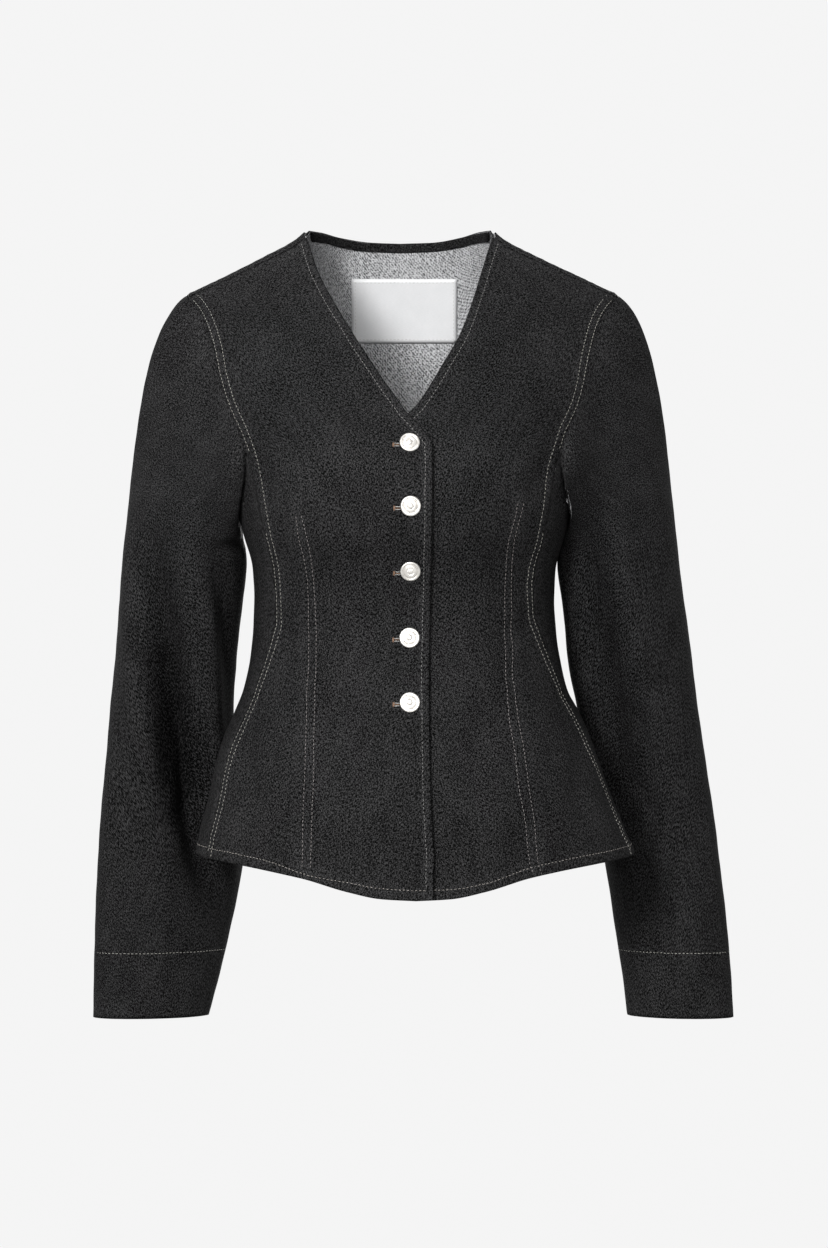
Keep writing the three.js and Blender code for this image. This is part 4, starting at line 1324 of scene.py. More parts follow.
class Surface:
    """The outer face of a finished piece, on which threads are laid."""

    def __init__(self, grid: Grid) -> None:
        """Makes a tree of the faces for finding places."""
        rows, columns = grid.points.shape[:2]
        index = np.arange(rows * columns).reshape(rows, columns)
        if grid.round:
            index = np.concatenate([index, index[:, :1]], axis=1)
        quads = np.stack([index[:-1, :-1], index[:-1, 1:], index[1:, 1:], index[1:, :-1]], axis=-1)
        points = grid.points.reshape(-1, 3)
        self.tree = BVHTree.FromPolygons(points.tolist(), quads.reshape(-1, 4).tolist())
        self.grid = grid
        self.middle = points.mean(axis=0)
        normals = grid.normals.reshape(-1, 3)
        found = self.tree.find_nearest(Vector(points[len(points) // 2]))
        self.sign = 1.0 if float(np.dot(np.array(found[1]), normals[len(points) // 2])) > 0 else -1.0

    def nearest(self, point: Array) -> tuple[Array, Array]:
        """The place on the face nearest a point, and its outward direction."""
        place, normal, _, _ = self.tree.find_nearest(Vector(point))
        return np.array(place), np.array(normal) * self.sign

    def seen_from_front(self, x: float, z: float) -> tuple[Array, Array] | None:
        """The first place that a level look from the front meets."""
        place, normal, _, _ = self.tree.ray_cast(Vector((x, -1000, z)), Vector((0, 1, 0)))
        if place is None:
            return None
        return np.array(place), np.array(normal) * self.sign

    def beside(self, line: Array, inside: Array, distance: Array | float) -> tuple[Array, Array]:
        """A line on the face at a distance from one of its edges.

        Args:
            line: the edge.
            inside: places further in from each point of the edge.
            distance: how far in the new line lies.

        Returns:
            The places and directions of the new line.
        """
        tangent = unit(np.gradient(line, axis=0))
        inward = inside - line
        inward = unit(inward - tangent * np.sum(inward * tangent, axis=-1, keepdims=True))
        shift = np.broadcast_to(distance, (len(line),))[:, None]
        found = [self.nearest(point) for point in line + inward * shift]
        return np.array([place for place, _ in found]), np.array([normal for _, normal in found])


@dataclass
class Stitching:
    """Rows of machine stitches, each a copy of one modelled thread bump."""

    length: float = 2.3
    gap: float = 1.15
    width: float = 0.44
    height: float = 0.38
    places: dict[Thread, list[Array]] = field(default_factory=dict)

    def row(self, thread: Thread, places: tuple[Array, Array], start: float = 0.0, end: float = 1.0) -> None:
        """Lays one row of stitches along places on a surface.

        Args:
            thread: the thread's colour.
            places: the points and outward directions along the row.
            start: share of the row where the stitches begin.
            end: share of the row where they end.
        """
        points, normals = places
        step = np.linalg.norm(np.diff(points, axis=0), axis=-1)
        run = np.concatenate([[0], np.cumsum(step)])
        pitch = self.length + self.gap
        middles = np.arange(start * run[-1] + pitch / 2, end * run[-1] - pitch / 3, pitch)
        if len(middles) == 0:
            return
        uneven = 0.12 * np.sin(middles * 1.7) + 0.1 * np.sin(middles * 0.63 + 2)
        half = self.length / 2

        def at(wanted: Array, values: Array) -> Array:
            return np.stack([np.interp(wanted, run, values[:, i]) for i in range(3)], axis=-1)

        before, after = at(middles - half, points), at(middles + half, points)
        normal = unit(at(middles, normals))
        along = unit(after - before)
        side = unit(np.cross(normal, along))
        along = unit(along + side * (0.05 * np.sin(middles * 2.9))[:, None])
        side = unit(np.cross(normal, along))
        centre = at(middles, points) + normal * 0.1 + side * uneven[:, None]
        frames = np.stack([along, side, normal, centre], axis=1)
        self.places.setdefault(thread, []).append(frames)

    def bar(self, thread: Thread, centre: Array, normal: Array, along: Array, length: float, rise: float) -> None:
        """Lays one stitch of its own length.

        Args:
            thread: the thread's colour.
            centre: the middle of the stitch on the surface.
            normal: the surface's outward direction.
            along: the direction in which the stitch runs.
            length: how long it is.
            rise: how far above the surface it lies.
        """
        side = unit(np.cross(normal, along))
        along = unit(np.cross(side, normal)) * (length / self.length)
        frame = np.stack([along, side * 1.2, normal, centre + normal * rise])
        self.places.setdefault(thread, []).append(frame[None])

    def prototype(self) -> tuple[Array, list[tuple[int, ...]]]:
        """Models one stitch: a thread bump that is pinched at its two ends."""
        bpy.ops.mesh.primitive_uv_sphere_add(segments=6, ring_count=5, radius=0.5, location=(0, 0, 0))
        piece = bpy.context.active_object
        bpy.ops.object.mode_set(mode="EDIT")
        bpy.ops.mesh.select_all(action="SELECT")
        bpy.ops.transform.rotate(value=math.pi / 2, orient_axis="Y", center_override=(0, 0, 0))
        bpy.ops.transform.resize(value=(self.length, self.width, self.height), center_override=(0, 0, 0))
        bpy.ops.object.mode_set(mode="OBJECT")
        mesh = piece.data
        points = np.array([tuple(v.co) for v in mesh.vertices])
        faces = [tuple(face.vertices) for face in mesh.polygons]
        ends = np.abs(points[:, 0]) / (self.length / 2)
        points[:, 2] -= 0.22 * ends**3
        bpy.data.objects.remove(piece)
        return points, faces

    def build(self, materials: dict[Thread, bpy.types.Material]) -> None:
        """Joins the copies of each thread into one piece."""
        shape, shape_faces = self.prototype()
        for thread, groups in self.places.items():
            frames = np.concatenate(groups)
            points = np.einsum("ik,nkj->nij", shape, frames[:, :3]) + frames[:, 3][:, None, :]
            count = len(shape)
            faces = []
            for i in range(len(frames)):
                faces += [tuple(k + i * count for k in face) for face in shape_faces]
            mesh = bpy.data.meshes.new(f"stitches_{thread.value}")
            mesh.from_pydata((points.reshape(-1, 3) * METRE).tolist(), [], faces)
            mesh.polygons.foreach_set("use_smooth", np.ones(len(faces), dtype=bool))
            mesh.materials.append(materials[thread])
            mesh.update()
            piece = bpy.data.objects.new(mesh.name, mesh)
            bpy.context.scene.collection.objects.link(piece)
            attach(piece, BODY)
            LOG.info("%s: %d stitches, %d faces", piece.name, len(frames), len(faces))


@dataclass
class ButtonSet:
    """Five domed shank buttons down the front."""

    radius: float = 8.75
    lift: float = 0.3

    def build(self, front: Grid, material: bpy.types.Material) -> None:
        """Makes each button on the front panel, facing as the panel does there."""
        for i, (x, z) in enumerate(zip(BUTTON_PLACES["x"], BUTTON_PLACES["z"])):
            point, normal = place_at(front, x, z)
            piece = self.one(f"button_{i + 1}_metal")
            turn = Vector((0, 0, 1)).rotation_difference(Vector(normal)).to_matrix().to_4x4()
            place = Vector((point + normal * self.lift) * METRE)
            piece.data.transform(Matrix.Translation(place) @ turn)
            piece.data.materials.append(material)
            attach(piece, BODY)
            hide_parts(f"button_{i + 1}")
            LOG.info("%s: %d faces", piece.name, len(piece.data.polygons))

    def one(self, name: str) -> bpy.types.Object:
        """Models one button about the origin, with generic rings and a small boss."""
        r = self.radius * METRE
        bpy.ops.mesh.primitive_cylinder_add(vertices=48, radius=r * 0.97, depth=0.0016, location=(0, 0, 0.0018))
        piece = bpy.context.active_object
        piece.name = name
        bpy.ops.object.mode_set(mode="EDIT")
        bpy.ops.mesh.select_mode(type="FACE")
        self.pick(piece, lambda face: face.normal.z > 0.9)
        for inset, rise in (
            (0.0007, 0.0005),
            (0.0010, 0.0),
            (0.0004, -0.00045),
            (0.0006, 0.0),
            (0.0004, 0.0007),
            (0.0022, 0.0004),
            (0.0004, -0.0003),
            (0.0003, 0.0),
            (0.0004, 0.0005),
            (0.0008, 0.00035),
        ):
            bpy.ops.mesh.inset(thickness=inset, depth=0.0)
            bpy.ops.transform.translate(value=(0, 0, rise))
        self.pick(piece, lambda face: face.normal.z < -0.9)
        bpy.ops.mesh.inset(thickness=r * 0.6, depth=0.0)
        bpy.ops.mesh.extrude_region_move(TRANSFORM_OT_translate={"value": (0, 0, -0.001)})
        bpy.ops.object.mode_set(mode="OBJECT")
        self.round_off(piece)
        return piece

    @staticmethod
    def pick(piece: bpy.types.Object, test: Callable[[bpy.types.MeshPolygon], bool]) -> None:
        """Selects only the faces that pass a test, in edit mode."""
        bpy.ops.mesh.select_all(action="DESELECT")
        bpy.ops.object.mode_set(mode="OBJECT")
        for face in piece.data.polygons:
            face.select = test(face)
        bpy.ops.object.mode_set(mode="EDIT")

    @staticmethod
    def round_off(piece: bpy.types.Object) -> None:
        """Softens the edges and smooths the shading."""
        bevel = piece.modifiers.new("soft_edges", "BEVEL")
        bevel.width = 0.00016
        bevel.segments = 2
        bevel.limit_method = "ANGLE"
        bevel.angle_limit = math.radians(25)
        bpy.ops.object.modifier_apply(modifier=bevel.name)
        bpy.ops.object.shade_smooth_by_angle(angle=math.radians(40))


def place_at(grid: Grid, x: float, z: float) -> tuple[Array, Array]:
    """The place of a panel nearest an x and z seen from the front, between its points."""
    flat = grid.points[..., [0, 2]] - np.array([x, z])
    r, c = np.unravel_index(np.argmin(np.sum(flat**2, axis=-1)), flat.shape[:2])
    row, column = float(r), float(c)
    for _ in range(6):
        here, _ = grid.sample(np.array(row), np.array(column))
        down, _ = grid.sample(np.array(row + 0.5), np.array(column))
        along, _ = grid.sample(np.array(row), np.array(column + 0.5))
        steps = np.stack([(down - here)[[0, 2]], (along - here)[[0, 2]]], axis=1) * 2
        move = np.linalg.solve(steps, np.array([x, z]) - here[[0, 2]])
        row += float(np.clip(move[0], -2, 2))
        column += float(np.clip(move[1], -2, 2))
    return grid.sample(np.array(row), np.array(column))


@dataclass
class Studio:
    """Camera, lights and a pale surround."""

    distance: float = 3.5
    picture_height: float = 1.0858
    sensor: float = 36.0
    centre: tuple[float, float] = (0.0061, -0.3367)
    surround: float = 0.905
    room: float = 7.0

    def build(self) -> None:
        """Sets up everything that isn't the jacket."""
        self.place_camera()
        self.place_surround()
        self.place_light("key", (-1.3, -3.0, 0.8), 0.8, 110.0)
        self.place_light("front", (0.1, -3.3, 0.3), 1.2, 34.0)
        self.place_light("top", (-0.3, -0.6, 2.2), 1.2, 14.0)
        self.place_light("back", (0.3, 3.2, 0.8), 1.2, 70.0)
        self.place_light("side_right", (-3.3, 0.9, 0.3), 1.0, 12.0)
        self.place_light("side_left", (3.3, 0.9, 0.3), 1.0, 14.0)

    def place_camera(self) -> None:
        """Puts the camera level in front of the jacket."""
        data = bpy.data.cameras.new("camera")
        data.sensor_width = self.sensor
        data.lens = self.sensor * self.distance / self.picture_height
        data.dof.use_dof = False
        camera = bpy.data.objects.new("camera", data)
        camera.location = (self.centre[0], -self.distance, self.centre[1])
        camera.rotation_euler = (math.pi / 2, 0, 0)
        bpy.context.scene.collection.objects.link(camera)
        bpy.context.scene.camera = camera

    def place_surround(self) -> None:
        """Makes a plain pale surround on every side, and a faint even light."""
        bpy.ops.mesh.primitive_uv_sphere_add(segments=48, ring_count=24, radius=self.room, location=(0, 0, 0))
        floor = bpy.context.active_object
        floor.name = "surround"
        floor.data.flip_normals()
        floor.data.polygons.foreach_set("use_smooth", np.ones(len(floor.data.polygons), dtype=bool))
        n = Nodes("pale_surround")
        n.shader.inputs["Base Color"].default_value = (0.02, 0.02, 0.02, 1)
        n.shader.inputs["Roughness"].default_value = 1.0
        n.shader.inputs["Specular IOR Level"].default_value = 0.0
        n.shader.inputs["Emission Color"].default_value = (1, 1, 1, 1)
        n.shader.inputs["Emission Strength"].default_value = self.surround
        floor.data.materials.append(n.material)
        floor.visible_diffuse = False
        floor.visible_shadow = False
        world = bpy.data.worlds.new("studio")
        bpy.context.scene.world = world
        world.use_nodes = True
        world.node_tree.nodes["Background"].inputs[0].default_value = (1, 1, 1, 1)
        world.node_tree.nodes["Background"].inputs[1].default_value = 0.14
        bpy.context.scene.view_settings.view_transform = "Standard"

    def place_light(self, name: str, place: tuple[float, float, float], size: float, power: float) -> None:
        """Adds a square soft light that looks at the middle of the jacket."""
        data = bpy.data.lights.new(name, "AREA")
        data.size = size
        data.energy = power
        light = bpy.data.objects.new(name, data)
        light.location = place
        light.visible_camera = False
        aim = Vector((0.0, 0.0, self.centre[1])) - Vector(place)
        light.rotation_euler = aim.to_track_quat("-Z", "Y").to_euler()
        bpy.context.scene.collection.objects.link(light)


# Pieces of the jacket

# Troughs and ridges laid on the body, which run on over its seams
FRONT_CREASES = [
    Crease(((-140, -175), (-122, -205), (-112, -240)), 9, -1.8),
    Crease(((-70, -225), (-62, -262), (-64, -300)), 14, 1.5),
    Crease(((-118, -330), (-100, -345), (-78, -352)), 6, -1.1),
    Crease(((-112, -352), (-92, -372), (-60, -380)), 9, -1.4),
    Crease(((-40, -395), (-34, -440), (-38, -500)), 16, -1.6),
    Crease(((-75, -470), (-66, -520), (-62, -566)), 13, 2.2),
    Crease(((-24, -215), (-36, -228), (-56, -232)), 8, -0.9),
    Crease(((-20, -268), (-32, -280), (-50, -286)), 7, -0.8),
    Crease(((-20, -322), (-32, -334), (-48, -342)), 8, -1.0),
    Crease(((-140, -420), (-132, -470), (-134, -530)), 10, -1.8),
    Crease(((128, -182), (112, -212), (100, -236)), 10, -2.1),
    Crease(((46, -150), (44, -185), (54, -215)), 15, 1.6),
    Crease(((118, -318), (98, -338), (72, -350)), 8, -1.5),
    Crease(((66, -395), (58, -445), (50, -490)), 12, -2.0),
    Crease(((112, -365), (90, -380), (66, -384)), 7, -1.1),
    Crease(((40, -250), (54, -268), (74, -274)), 9, -1.0),
    Crease(((76, -480), (72, -530), (70, -562)), 14, 1.8),
    Crease(((150, -430), (146, -480), (150, -530)), 10, -1.8),
]
BACK_CREASES = [
    Crease(((-128, -150), (-90, -190), (-70, -240)), 11, -2.2, True),
    Crease(((124, -160), (96, -205), (80, -250)), 10, -2.0, True),
    Crease(((-96, -300), (-40, -322), (20, -318)), 9, -2.2, True),
    Crease(((90, -290), (46, -308), (-6, -304)), 8, -1.8, True),
    Crease(((-84, -344), (-30, -352), (34, -340)), 8, -1.9, True),
    Crease(((96, -352), (56, -364), (18, -362)), 8, -1.6, True),
    Crease(((-46, -400), (-54, -460), (-50, -535)), 15, 2.4, True),
    Crease(((58, -410), (66, -470), (62, -535)), 14, 2.0, True),
    Crease(((4, -420), (-2, -470), (6, -530)), 13, -2.0, True),
]


class Piece:
    """What every cloth piece shares: its grid, its seams and how it is sewn."""

    name: str
    flat: tuple[float, float]
    area: float
    slot = "denim"
    thickness = 1.3
    turned_in = (0, 0)

    def __init__(self, grid: Grid) -> None:
        """Keeps the undressed places for finding seams."""
        self.grid = grid
        self.plain = grid.points.copy()

    def finish(self, seams: list[Seam], creases: list[Crease]) -> None:
        """Dresses the grid and makes the surface that threads lie on."""
        dress(self.grid, seams, creases)
        self.surface = Surface(self.grid)

    def build(self, outside: bpy.types.Material, inside: bpy.types.Material) -> bpy.types.Object:
        """Makes the piece with its two faces."""
        cloth = Cloth(self.name, self.flat, self.area, self.grid, self.slot, self.thickness, self.turned())
        cloth.turned_in = self.turned_in
        return cloth.build([outside, inside])

    def turned(self) -> Array | float:
        """How much deeper the inner face lies, where a hem is turned up."""
        return 0.7 * (1 - smooth_step(self.grid.from_bottom, 9, 11))

    def along_column(self, column: int, first: int, last: int, into: int) -> tuple[Array, Array]:
        """The line of one column of the undressed grid, and places further in."""
        rows = slice(first, last)
        return self.plain[rows, column], self.plain[rows, column + into]

    def along_row(self, row: int, first: int, last: int, into: int) -> tuple[Array, Array]:
        """The line of one row of the undressed grid, and places further in."""
        columns = slice(first, last)
        return self.plain[row, columns], self.plain[row + into, columns]


class FrontPanel(Piece):
    """One front, with its neck edge, placket, dart and hem."""

    INNER = 12
    turned_in = (0, 10)
    NECK_ROW = 6.6
    HEM_ROW = 8.8

    def __init__(self, side: Side) -> None:
        """Makes the panel on one side."""
        super().__init__(front_grid(side))
        self.side = side
        self.name = grid_name("front", side)
        self.flat = (0.235, 0.6)
        self.area = 0.09
        self.shoulder_rows = len(spaced(NECK_POINT_X, TIP_X, CLOTH_STEP))
        self.upper_rows = len(self.plain) - len(ROWS.nominal)
        seams = [
            Seam(self.plain[:, 0], (self.NECK_ROW,), 0.1, 0.2, 0.2, 12.0, 2.0),
            Seam(self.plain[self.upper_rows :, 0], (), 0.0, PLACKET_RISE[side], 0.0, 12.0, 2.0, 7.8),
            Seam(self.plain[-1], (self.HEM_ROW,), 0.1, 0.55, 0.42, 9.0, 3.0 + side.value),
            Seam(self.plain[: self.shoulder_rows, -1], (), 0.5, 0.3, 0.2, 11.0, 4.0, 7.0),
            Seam(self.plain[self.shoulder_rows :, -1], (2.0, 8.0), 0.5, 0.4, 0.34, 11.0, 5.0 + side.value),
        ]
        self.dart = self.dart_lines()
        outer = self.dart[0] + np.array([side.value * 1.6, 0, 0])
        seams.append(Seam(outer, (1.6, 7.6), 0.55, 0.4, 0.26, 12.0, 6.0 + side.value))
        self.finish(seams, FRONT_CREASES)

    def dart_lines(self) -> list[Array]:
        """The two stitch rows of the dart on the undressed panel."""
        rows = DARTS[self.side]
        lines = []
        for name in ("a", "b"):
            path = Profile(rows["z"], rows[name])
            z = spaced(float(rows["z"].max()), float(rows["z"].min()), 4.0)
            z = z[z > -546] if self.side is Side.RIGHT else z
            lines.append(FORM.by_x(path(z), z, False)[0])
        return lines

    def sew(self, stitching: Stitching) -> None:
        """Lays the rows of stitches."""
        end = len(self.plain)
        face = self.surface
        line, inside = self.along_column(0, 0, end, self.INNER)
        stitching.row(Thread.GREY, face.beside(line, inside, self.NECK_ROW), 0.004, 0.985)
        line, inside = self.along_row(-1, 0, self.plain.shape[1], -self.INNER)
        stitching.row(Thread.TAN, face.beside(line, inside, self.hem_row(line)), 0.03, 0.995)
        junction = self.upper_rows
        line, inside = self.along_column(-1, self.shoulder_rows - 1, end, -self.INNER)
        stitching.row(Thread.SILVER, face.beside(line, inside, 8.0))
        line, inside = self.along_column(-1, self.shoulder_rows - 1, junction + 6, -self.INNER)
        stitching.row(Thread.SILVER, face.beside(line, inside, 2.0))
        start = junction + int(round(88 / CLOTH_STEP))
        line, inside = self.along_column(-1, start, end, -self.INNER)
        stitching.row(Thread.SILVER, face.beside(line, inside, 2.0), 0.0, 0.985)
        for line in self.dart:
            found = [face.nearest(point) for point in line]
            places = np.array([place for place, _ in found]), np.array([normal for _, normal in found])
            stitching.row(Thread.ROSE, places)

    def hem_row(self, line: Array) -> Array:
        """How far the hem's stitches lie from its edge, which rolls up a little beside the dart."""
        roll = HEM_ROLL[self.side]
        return self.HEM_ROW - roll[2] * bump(line[:, 0], roll[0], roll[1])


class SidePanel(Piece):
    """One side panel below the arm."""

    turned_in = (8, 0)

    def __init__(self, side: Side) -> None:
        """Makes the panel on one side."""
        super().__init__(side_grid(side))
        self.side = side
        self.name = grid_name("side", side)
        self.flat = (0.18, 0.4)
        self.area = 0.043
        seams = [
            Seam(self.plain[:, 0], (), 0.5, 0.0, 0.3, 11.0, 5.0 + side.value, 8.0),
            Seam(self.plain[:, -1], (), 0.5, 0.0, 0.3, 11.0, 8.0 + side.value, 8.0),
            Seam(self.plain[-1], (8.8,), 0.1, 0.55, 0.42, 9.0, 9.0 + side.value),
            Seam(self.plain[0], (2.0, 8.0), 0.5, 0.4, 0.3, 9.0, 10.0),
        ]
        self.finish(seams, FRONT_CREASES + BACK_CREASES)

    def sew(self, stitching: Stitching) -> None:
        """Lays the rows of stitches."""
        last = self.plain.shape[1]
        line, inside = self.along_row(-1, 0, last, -12)
        stitching.row(Thread.TAN, self.surface.beside(line, inside, 8.8), 0.01, 0.99)


class BackPanel(Piece):
    """The back, with the stretch that passes over the shoulders."""

    def __init__(self) -> None:
        """Makes the back."""
        super().__init__(back_grid())
        self.name = "back"
        self.flat = (0.44, 0.62)
        self.area = 0.169
        own = self.plain[0, :, 0] - FORM.lean(self.plain[0, :, 2])
        inner = np.where(np.abs(own) < NECK_POINT_X - 1)[0]
        self.neck = (int(inner[0]), int(inner[-1]) + 1)
        self.low = len(self.plain) - len(ROWS.nominal)
        columns = self.plain.shape[1]
        first, last = self.neck
        seams = [
            Seam(self.plain[0, first:last], (), 0.1, 0.25, 0.12, 12.0, 2.0, 7.0),
            Seam(self.plain[0, :first], (2.0, 8.0), 0.5, 0.45, 0.25, 11.0, 4.0),
            Seam(self.plain[0, last:], (2.0, 8.0), 0.5, 0.45, 0.25, 11.0, 4.5),
            Seam(self.plain[-1], (8.8,), 0.1, 0.55, 0.42, 9.0, 3.4),
        ]
        for column, seed in ((0, 11.0), (columns - 1, 12.0)):
            seams.append(Seam(self.plain[: self.low, column], (2.0, 8.0), 0.5, 0.5, 0.3, 10.0, seed))
            seams.append(Seam(self.plain[self.low :, column], (2.0, 8.0), 0.5, 0.5, 0.34, 11.0, seed + 1))
        self.finish(seams, BACK_CREASES)

    def sew(self, stitching: Stitching) -> None:
        """Lays the rows of stitches."""
        columns = self.plain.shape[1]
        end = len(self.plain)
        face = self.surface
        line, inside = self.along_row(-1, 0, columns, -12)
        stitching.row(Thread.TAN, face.beside(line, inside, 8.8), 0.01, 0.99)
        for column, into in ((0, 6), (columns - 1, -6)):
            for distance in (2.0, 8.0):
                line, inside = self.along_column(column, 1, end, into)
                stitching.row(Thread.SILVER, face.beside(line, inside, distance))
        first, last = self.neck
        line, inside = self.along_row(0, first, last, 5)
        stitching.row(Thread.GREY, face.beside(line, inside, 6.6))
        for start, stop in ((0, first + 1), (last - 1, columns)):
            line, inside = self.along_row(0, start, stop, 4)
            stitching.row(Thread.DARK, face.beside(line, inside, 2.0))


class Sleeve(Piece):
    """One sleeve, with its head, underarm seam and deep turned hem."""

    HEM_DEPTH = 58.0
    turned_in = (14, 0)

    def __init__(self, side: Side) -> None:
        """Makes the sleeve on one side."""
        grid, self.angle = sleeve_grid(side)
        super().__init__(grid)
        self.side = side
        self.name = grid_name("sleeve", side)
        self.flat = (0.4, 0.66)
        self.area = 0.175 if side is Side.RIGHT else 0.165
        self.under = int(np.argmin(np.abs(self.angle - 1.06 * np.pi)))
        closed = np.concatenate([self.plain[RING_ROW], self.plain[RING_ROW, :1]])
        cuff = np.concatenate([self.plain[-1], self.plain[-1, :1]])
        seams = [
            Seam(closed, (), 0.35, 0.0, 0.5, 13.0, 3.0 + side.value, 12.0),
            Seam(cuff, (), 0.05, 0.0, 0.2, 16.0, 5.0, 6.0),
            Seam(self.plain[:, self.under], (), 0.7, 0.15, 0.25, 12.0, 7.0, 5.0),
        ]
        self.finish(seams, self.creases())

    def creases(self) -> list[Crease]:
        """Troughs and ridges laid on this sleeve."""
        if self.side is Side.RIGHT:
            return [
                Crease(((-224, -250), (-214, -316), (-205, -394), (-197, -460), (-190, -525), (-176, -585)), 16, -18),
                Crease(((-196, -400), (-186, -470), (-176, -530), (-168, -590)), 13, -9),
                Crease(((-183, -270), (-172, -345), (-168, -420)), 9, 4.0),
                Crease(((-136, -262), (-152, -270), (-172, -272)), 7, -2.6),
                Crease(((-228, -255), (-206, -272), (-176, -268)), 8, -1.8),
                Crease(((-252, -352), (-226, -372), (-196, -372)), 8, -1.6),
                Crease(((-170, -455), (-192, -500), (-226, -520)), 10, -2.2),
                Crease(((-232, -600), (-216, -640), (-214, -680)), 13, 1.6),
                Crease(((-250, -340), (-226, -372), (-190, -380)), 9, -3.0, True),
                Crease(((-254, -392), (-228, -412), (-196, -402)), 8, -2.6, True),
                Crease(((-200, -180), (-196, -240), (-204, -300)), 14, -2.4, True),
                Crease(((-236, -440), (-220, -500), (-226, -580)), 14, -2.6, True),
            ]
        return [
            Crease(((148, -205), (160, -300), (174, -390), (194, -480), (210, -570)), 17, -12),
            Crease(((214, -300), (222, -380), (236, -460)), 14, 1.8),
            Crease(((170, -268), (196, -286), (226, -280)), 8, -1.6),
            Crease(((186, -372), (212, -392), (242, -386)), 8, -1.7),
            Crease(((196, -470), (222, -500), (252, -506)), 9, -1.8),
            Crease(((250, -590), (240, -636), (246, -680)), 13, 1.5),
            Crease(((240, -348), (216, -376), (186, -376)), 9, -2.9, True),
            Crease(((246, -398), (220, -416), (196, -410)), 8, -2.3, True),
            Crease(((196, -176), (192, -236), (198, -300)), 14, -2.2, True),
            Crease(((232, -450), (226, -510), (236, -590)), 14, -2.4, True),
        ]

    def turned(self) -> Array:
        """The deep hem is double inside."""
        return 0.7 * (1 - smooth_step(self.grid.from_bottom, self.HEM_DEPTH - 1, self.HEM_DEPTH + 2))

    def sew(self, stitching: Stitching) -> None:
        """Lays the one row of the deep hem."""
        rows = self.plain[:, 0, 2]
        row = float(np.interp(-(CUFF_Z + self.HEM_DEPTH), -rows[60:], np.arange(60, len(rows))))
        columns = np.arange(self.plain.shape[1] - 1, dtype=float)
        points, normals = self.grid.sample(np.full(len(columns), row), columns)
        stitching.row(Thread.SILVER, (points, normals))


@dataclass(frozen=True)
class Buttonhole:
    """The keyhole buttonhole that shows beside each button; sizes are in millimetres."""

    tack: float = 13.2
    tack_length: float = 4.6
    tack_step: float = 0.55
    tack_threads: int = 3
    prong_gap: float = 1.15
    prong_length: float = 5.0

    def sew(self, front: Grid, stitching: Stitching) -> None:
        """Lays the threads of every hole: a bar across its end and a prong on each side.

        Args:
            front: the dressed panel that the holes are cut in.
            stitching: the threads of the jacket.
        """
        for x, z in zip(BUTTON_PLACES["x"], BUTTON_PLACES["z"]):
            for i in range(self.tack_threads):
                place = (x - self.tack - i * self.tack_step, z)
                self.lay(front, stitching, Thread.RUST, place, (0, 1), self.tack_length)
            for up in (-self.prong_gap, 0.0, self.prong_gap):
                thread = Thread.WHITE if up else Thread.RUST
                place = (x - self.tack + self.prong_length / 2, z + up)
                self.lay(front, stitching, thread, place, (1, 0), self.prong_length)

    @staticmethod
    def lay(
        front: Grid,
        stitching: Stitching,
        thread: Thread,
        place: tuple[float, float],
        out: tuple[float, float],
        length: float,
    ) -> None:
        """Lays one thread at an x and z, running in a direction seen from the front."""
        point, normal = place_at(front, *place)
        stitching.bar(thread, point, normal, np.array([out[0], 0.0, out[1]]), length, 0.15)


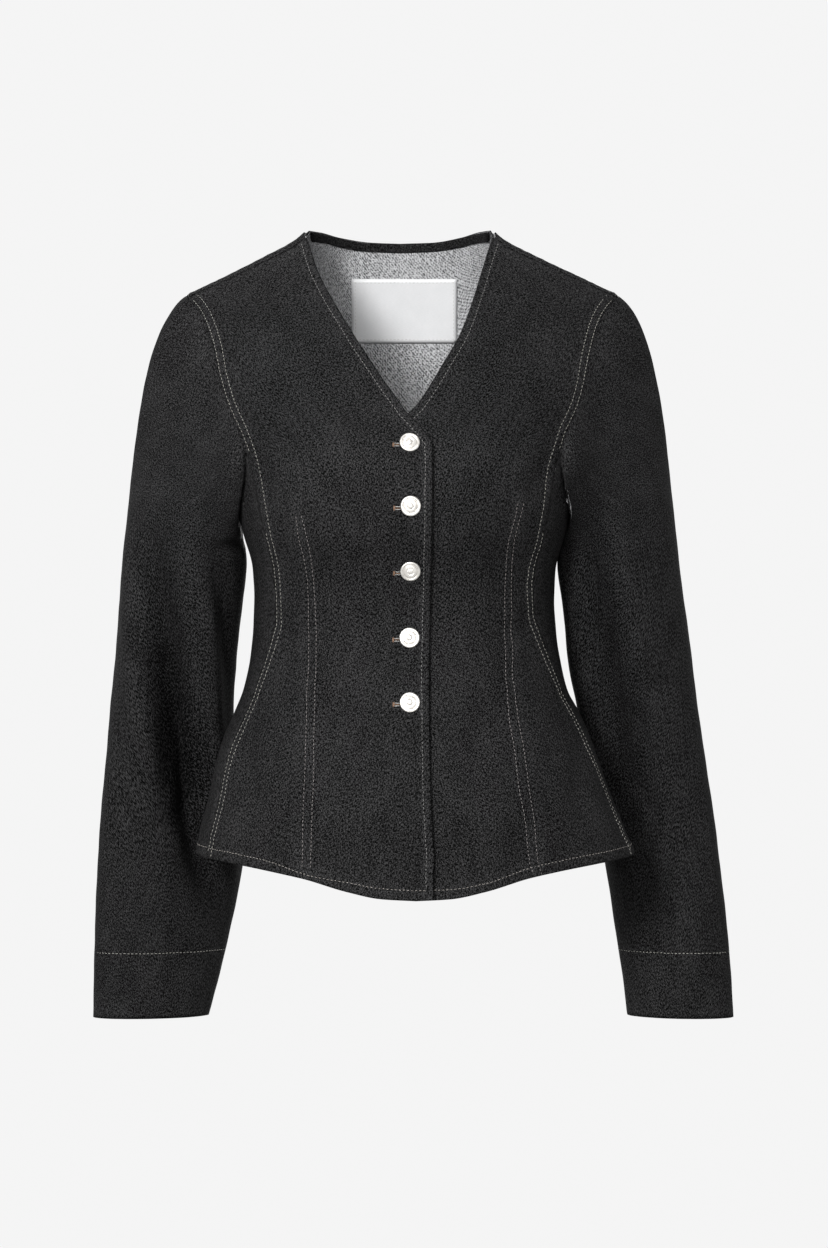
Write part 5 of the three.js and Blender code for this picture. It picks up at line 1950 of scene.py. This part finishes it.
class Trim:
    """The binding and the blank label on the inside of the back."""

    EDGE = 2

    def build(self, back: Grid, cloth: bpy.types.Material, stitching: Stitching) -> None:
        """Makes both trims from the undressed places of the back, and sews the label on."""
        share = np.abs(back.points[3, :, 0] - FORM.lean(0)) / TIP_X
        inner = np.where(share < BINDING_SHARE)[0]
        columns = slice(int(inner[0]), int(inner[-1]) + 1)
        binding = panel_under(back, slice(0, 9), columns, WALL + SEAM_GAP)
        Cloth("neck_binding", (0.17, 0.012), 0.0018, binding, "binding", 0.8).build([cloth, cloth])
        label = label_grid(back)
        satin = SatinFinish().build()
        Cloth("label", (0.098, 0.057), 0.0055, label, "label_satin", 0.5).build([satin, satin])
        face = label.points - label.normals * 0.5
        for row in (self.EDGE - 1, -self.EDGE):
            stitching.row(Thread.WHITE, (face[row], -label.normals[row]), 0.02, 0.98)
        for column in (self.EDGE - 1, -self.EDGE):
            stitching.row(Thread.WHITE, (face[:, column], -label.normals[:, column]), 0.03, 0.97)


THREADS = {
    Thread.TAN: ThreadFinish("thread_tan_twist", grey(190, (1.0, 0.92, 0.84))),
    Thread.SILVER: ThreadFinish("thread_silver_twist", grey(200, (1.0, 0.98, 0.88))),
    Thread.GREY: ThreadFinish("thread_grey_twist", grey(158, (1.0, 0.98, 0.95))),
    Thread.ROSE: ThreadFinish("thread_rose_twist", grey(165, (1.0, 0.91, 0.88))),
    Thread.DARK: ThreadFinish("thread_dark_twist", grey(38, (1.0, 1.0, 1.0))),
    Thread.RUST: ThreadFinish("thread_rust_twist", grey(158, (1.0, 0.58, 0.36))),
    Thread.WHITE: ThreadFinish("thread_white_twist", grey(232, (1.0, 0.98, 0.94))),
}


def main() -> None:
    """Builds the studio and every piece of the jacket, in order."""
    logging.basicConfig(level=logging.INFO, format="%(name)s %(message)s")
    Studio().build()
    outside = CHARCOAL.build()
    inside = REVERSE.build()
    plain_back = back_grid()
    stitching = Stitching()
    fronts = {side: FrontPanel(side) for side in Side}
    pieces: list[Piece] = [*fronts.values(), BackPanel()]
    for side in Side:
        pieces += [SidePanel(side), Sleeve(side)]
    for piece in pieces:
        piece.build(outside, inside)
        piece.sew(stitching)
    Trim().build(plain_back, outside, stitching)
    Buttonhole().sew(fronts[Side.RIGHT].grid, stitching)
    stitching.build({thread: finish.build() for thread, finish in THREADS.items()})
    ButtonSet().build(fronts[Side.RIGHT].grid, MetalFinish().build())
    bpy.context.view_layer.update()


def grid_name(kind: str, side: Side) -> str:
    """The node name of a piece on one side."""
    return f"{kind}_{side.word}"


def label_grid(back: Grid) -> Grid:
    """Places of the blank label on the inside of the back."""
    xs = np.linspace(-49.5, 44.5, 30)
    zs = np.linspace(-29.5, -85.5, 18)
    points = np.empty((18, 30, 3))
    normals = np.empty((18, 30, 3))
    for r, z in enumerate(zs):
        for c, x in enumerate(xs):
            points[r, c], normals[r, c] = place_at(back, x, z)
    return Grid(points - normals * (WALL + SEAM_GAP), normals)


if __name__ == "__main__":
    main()
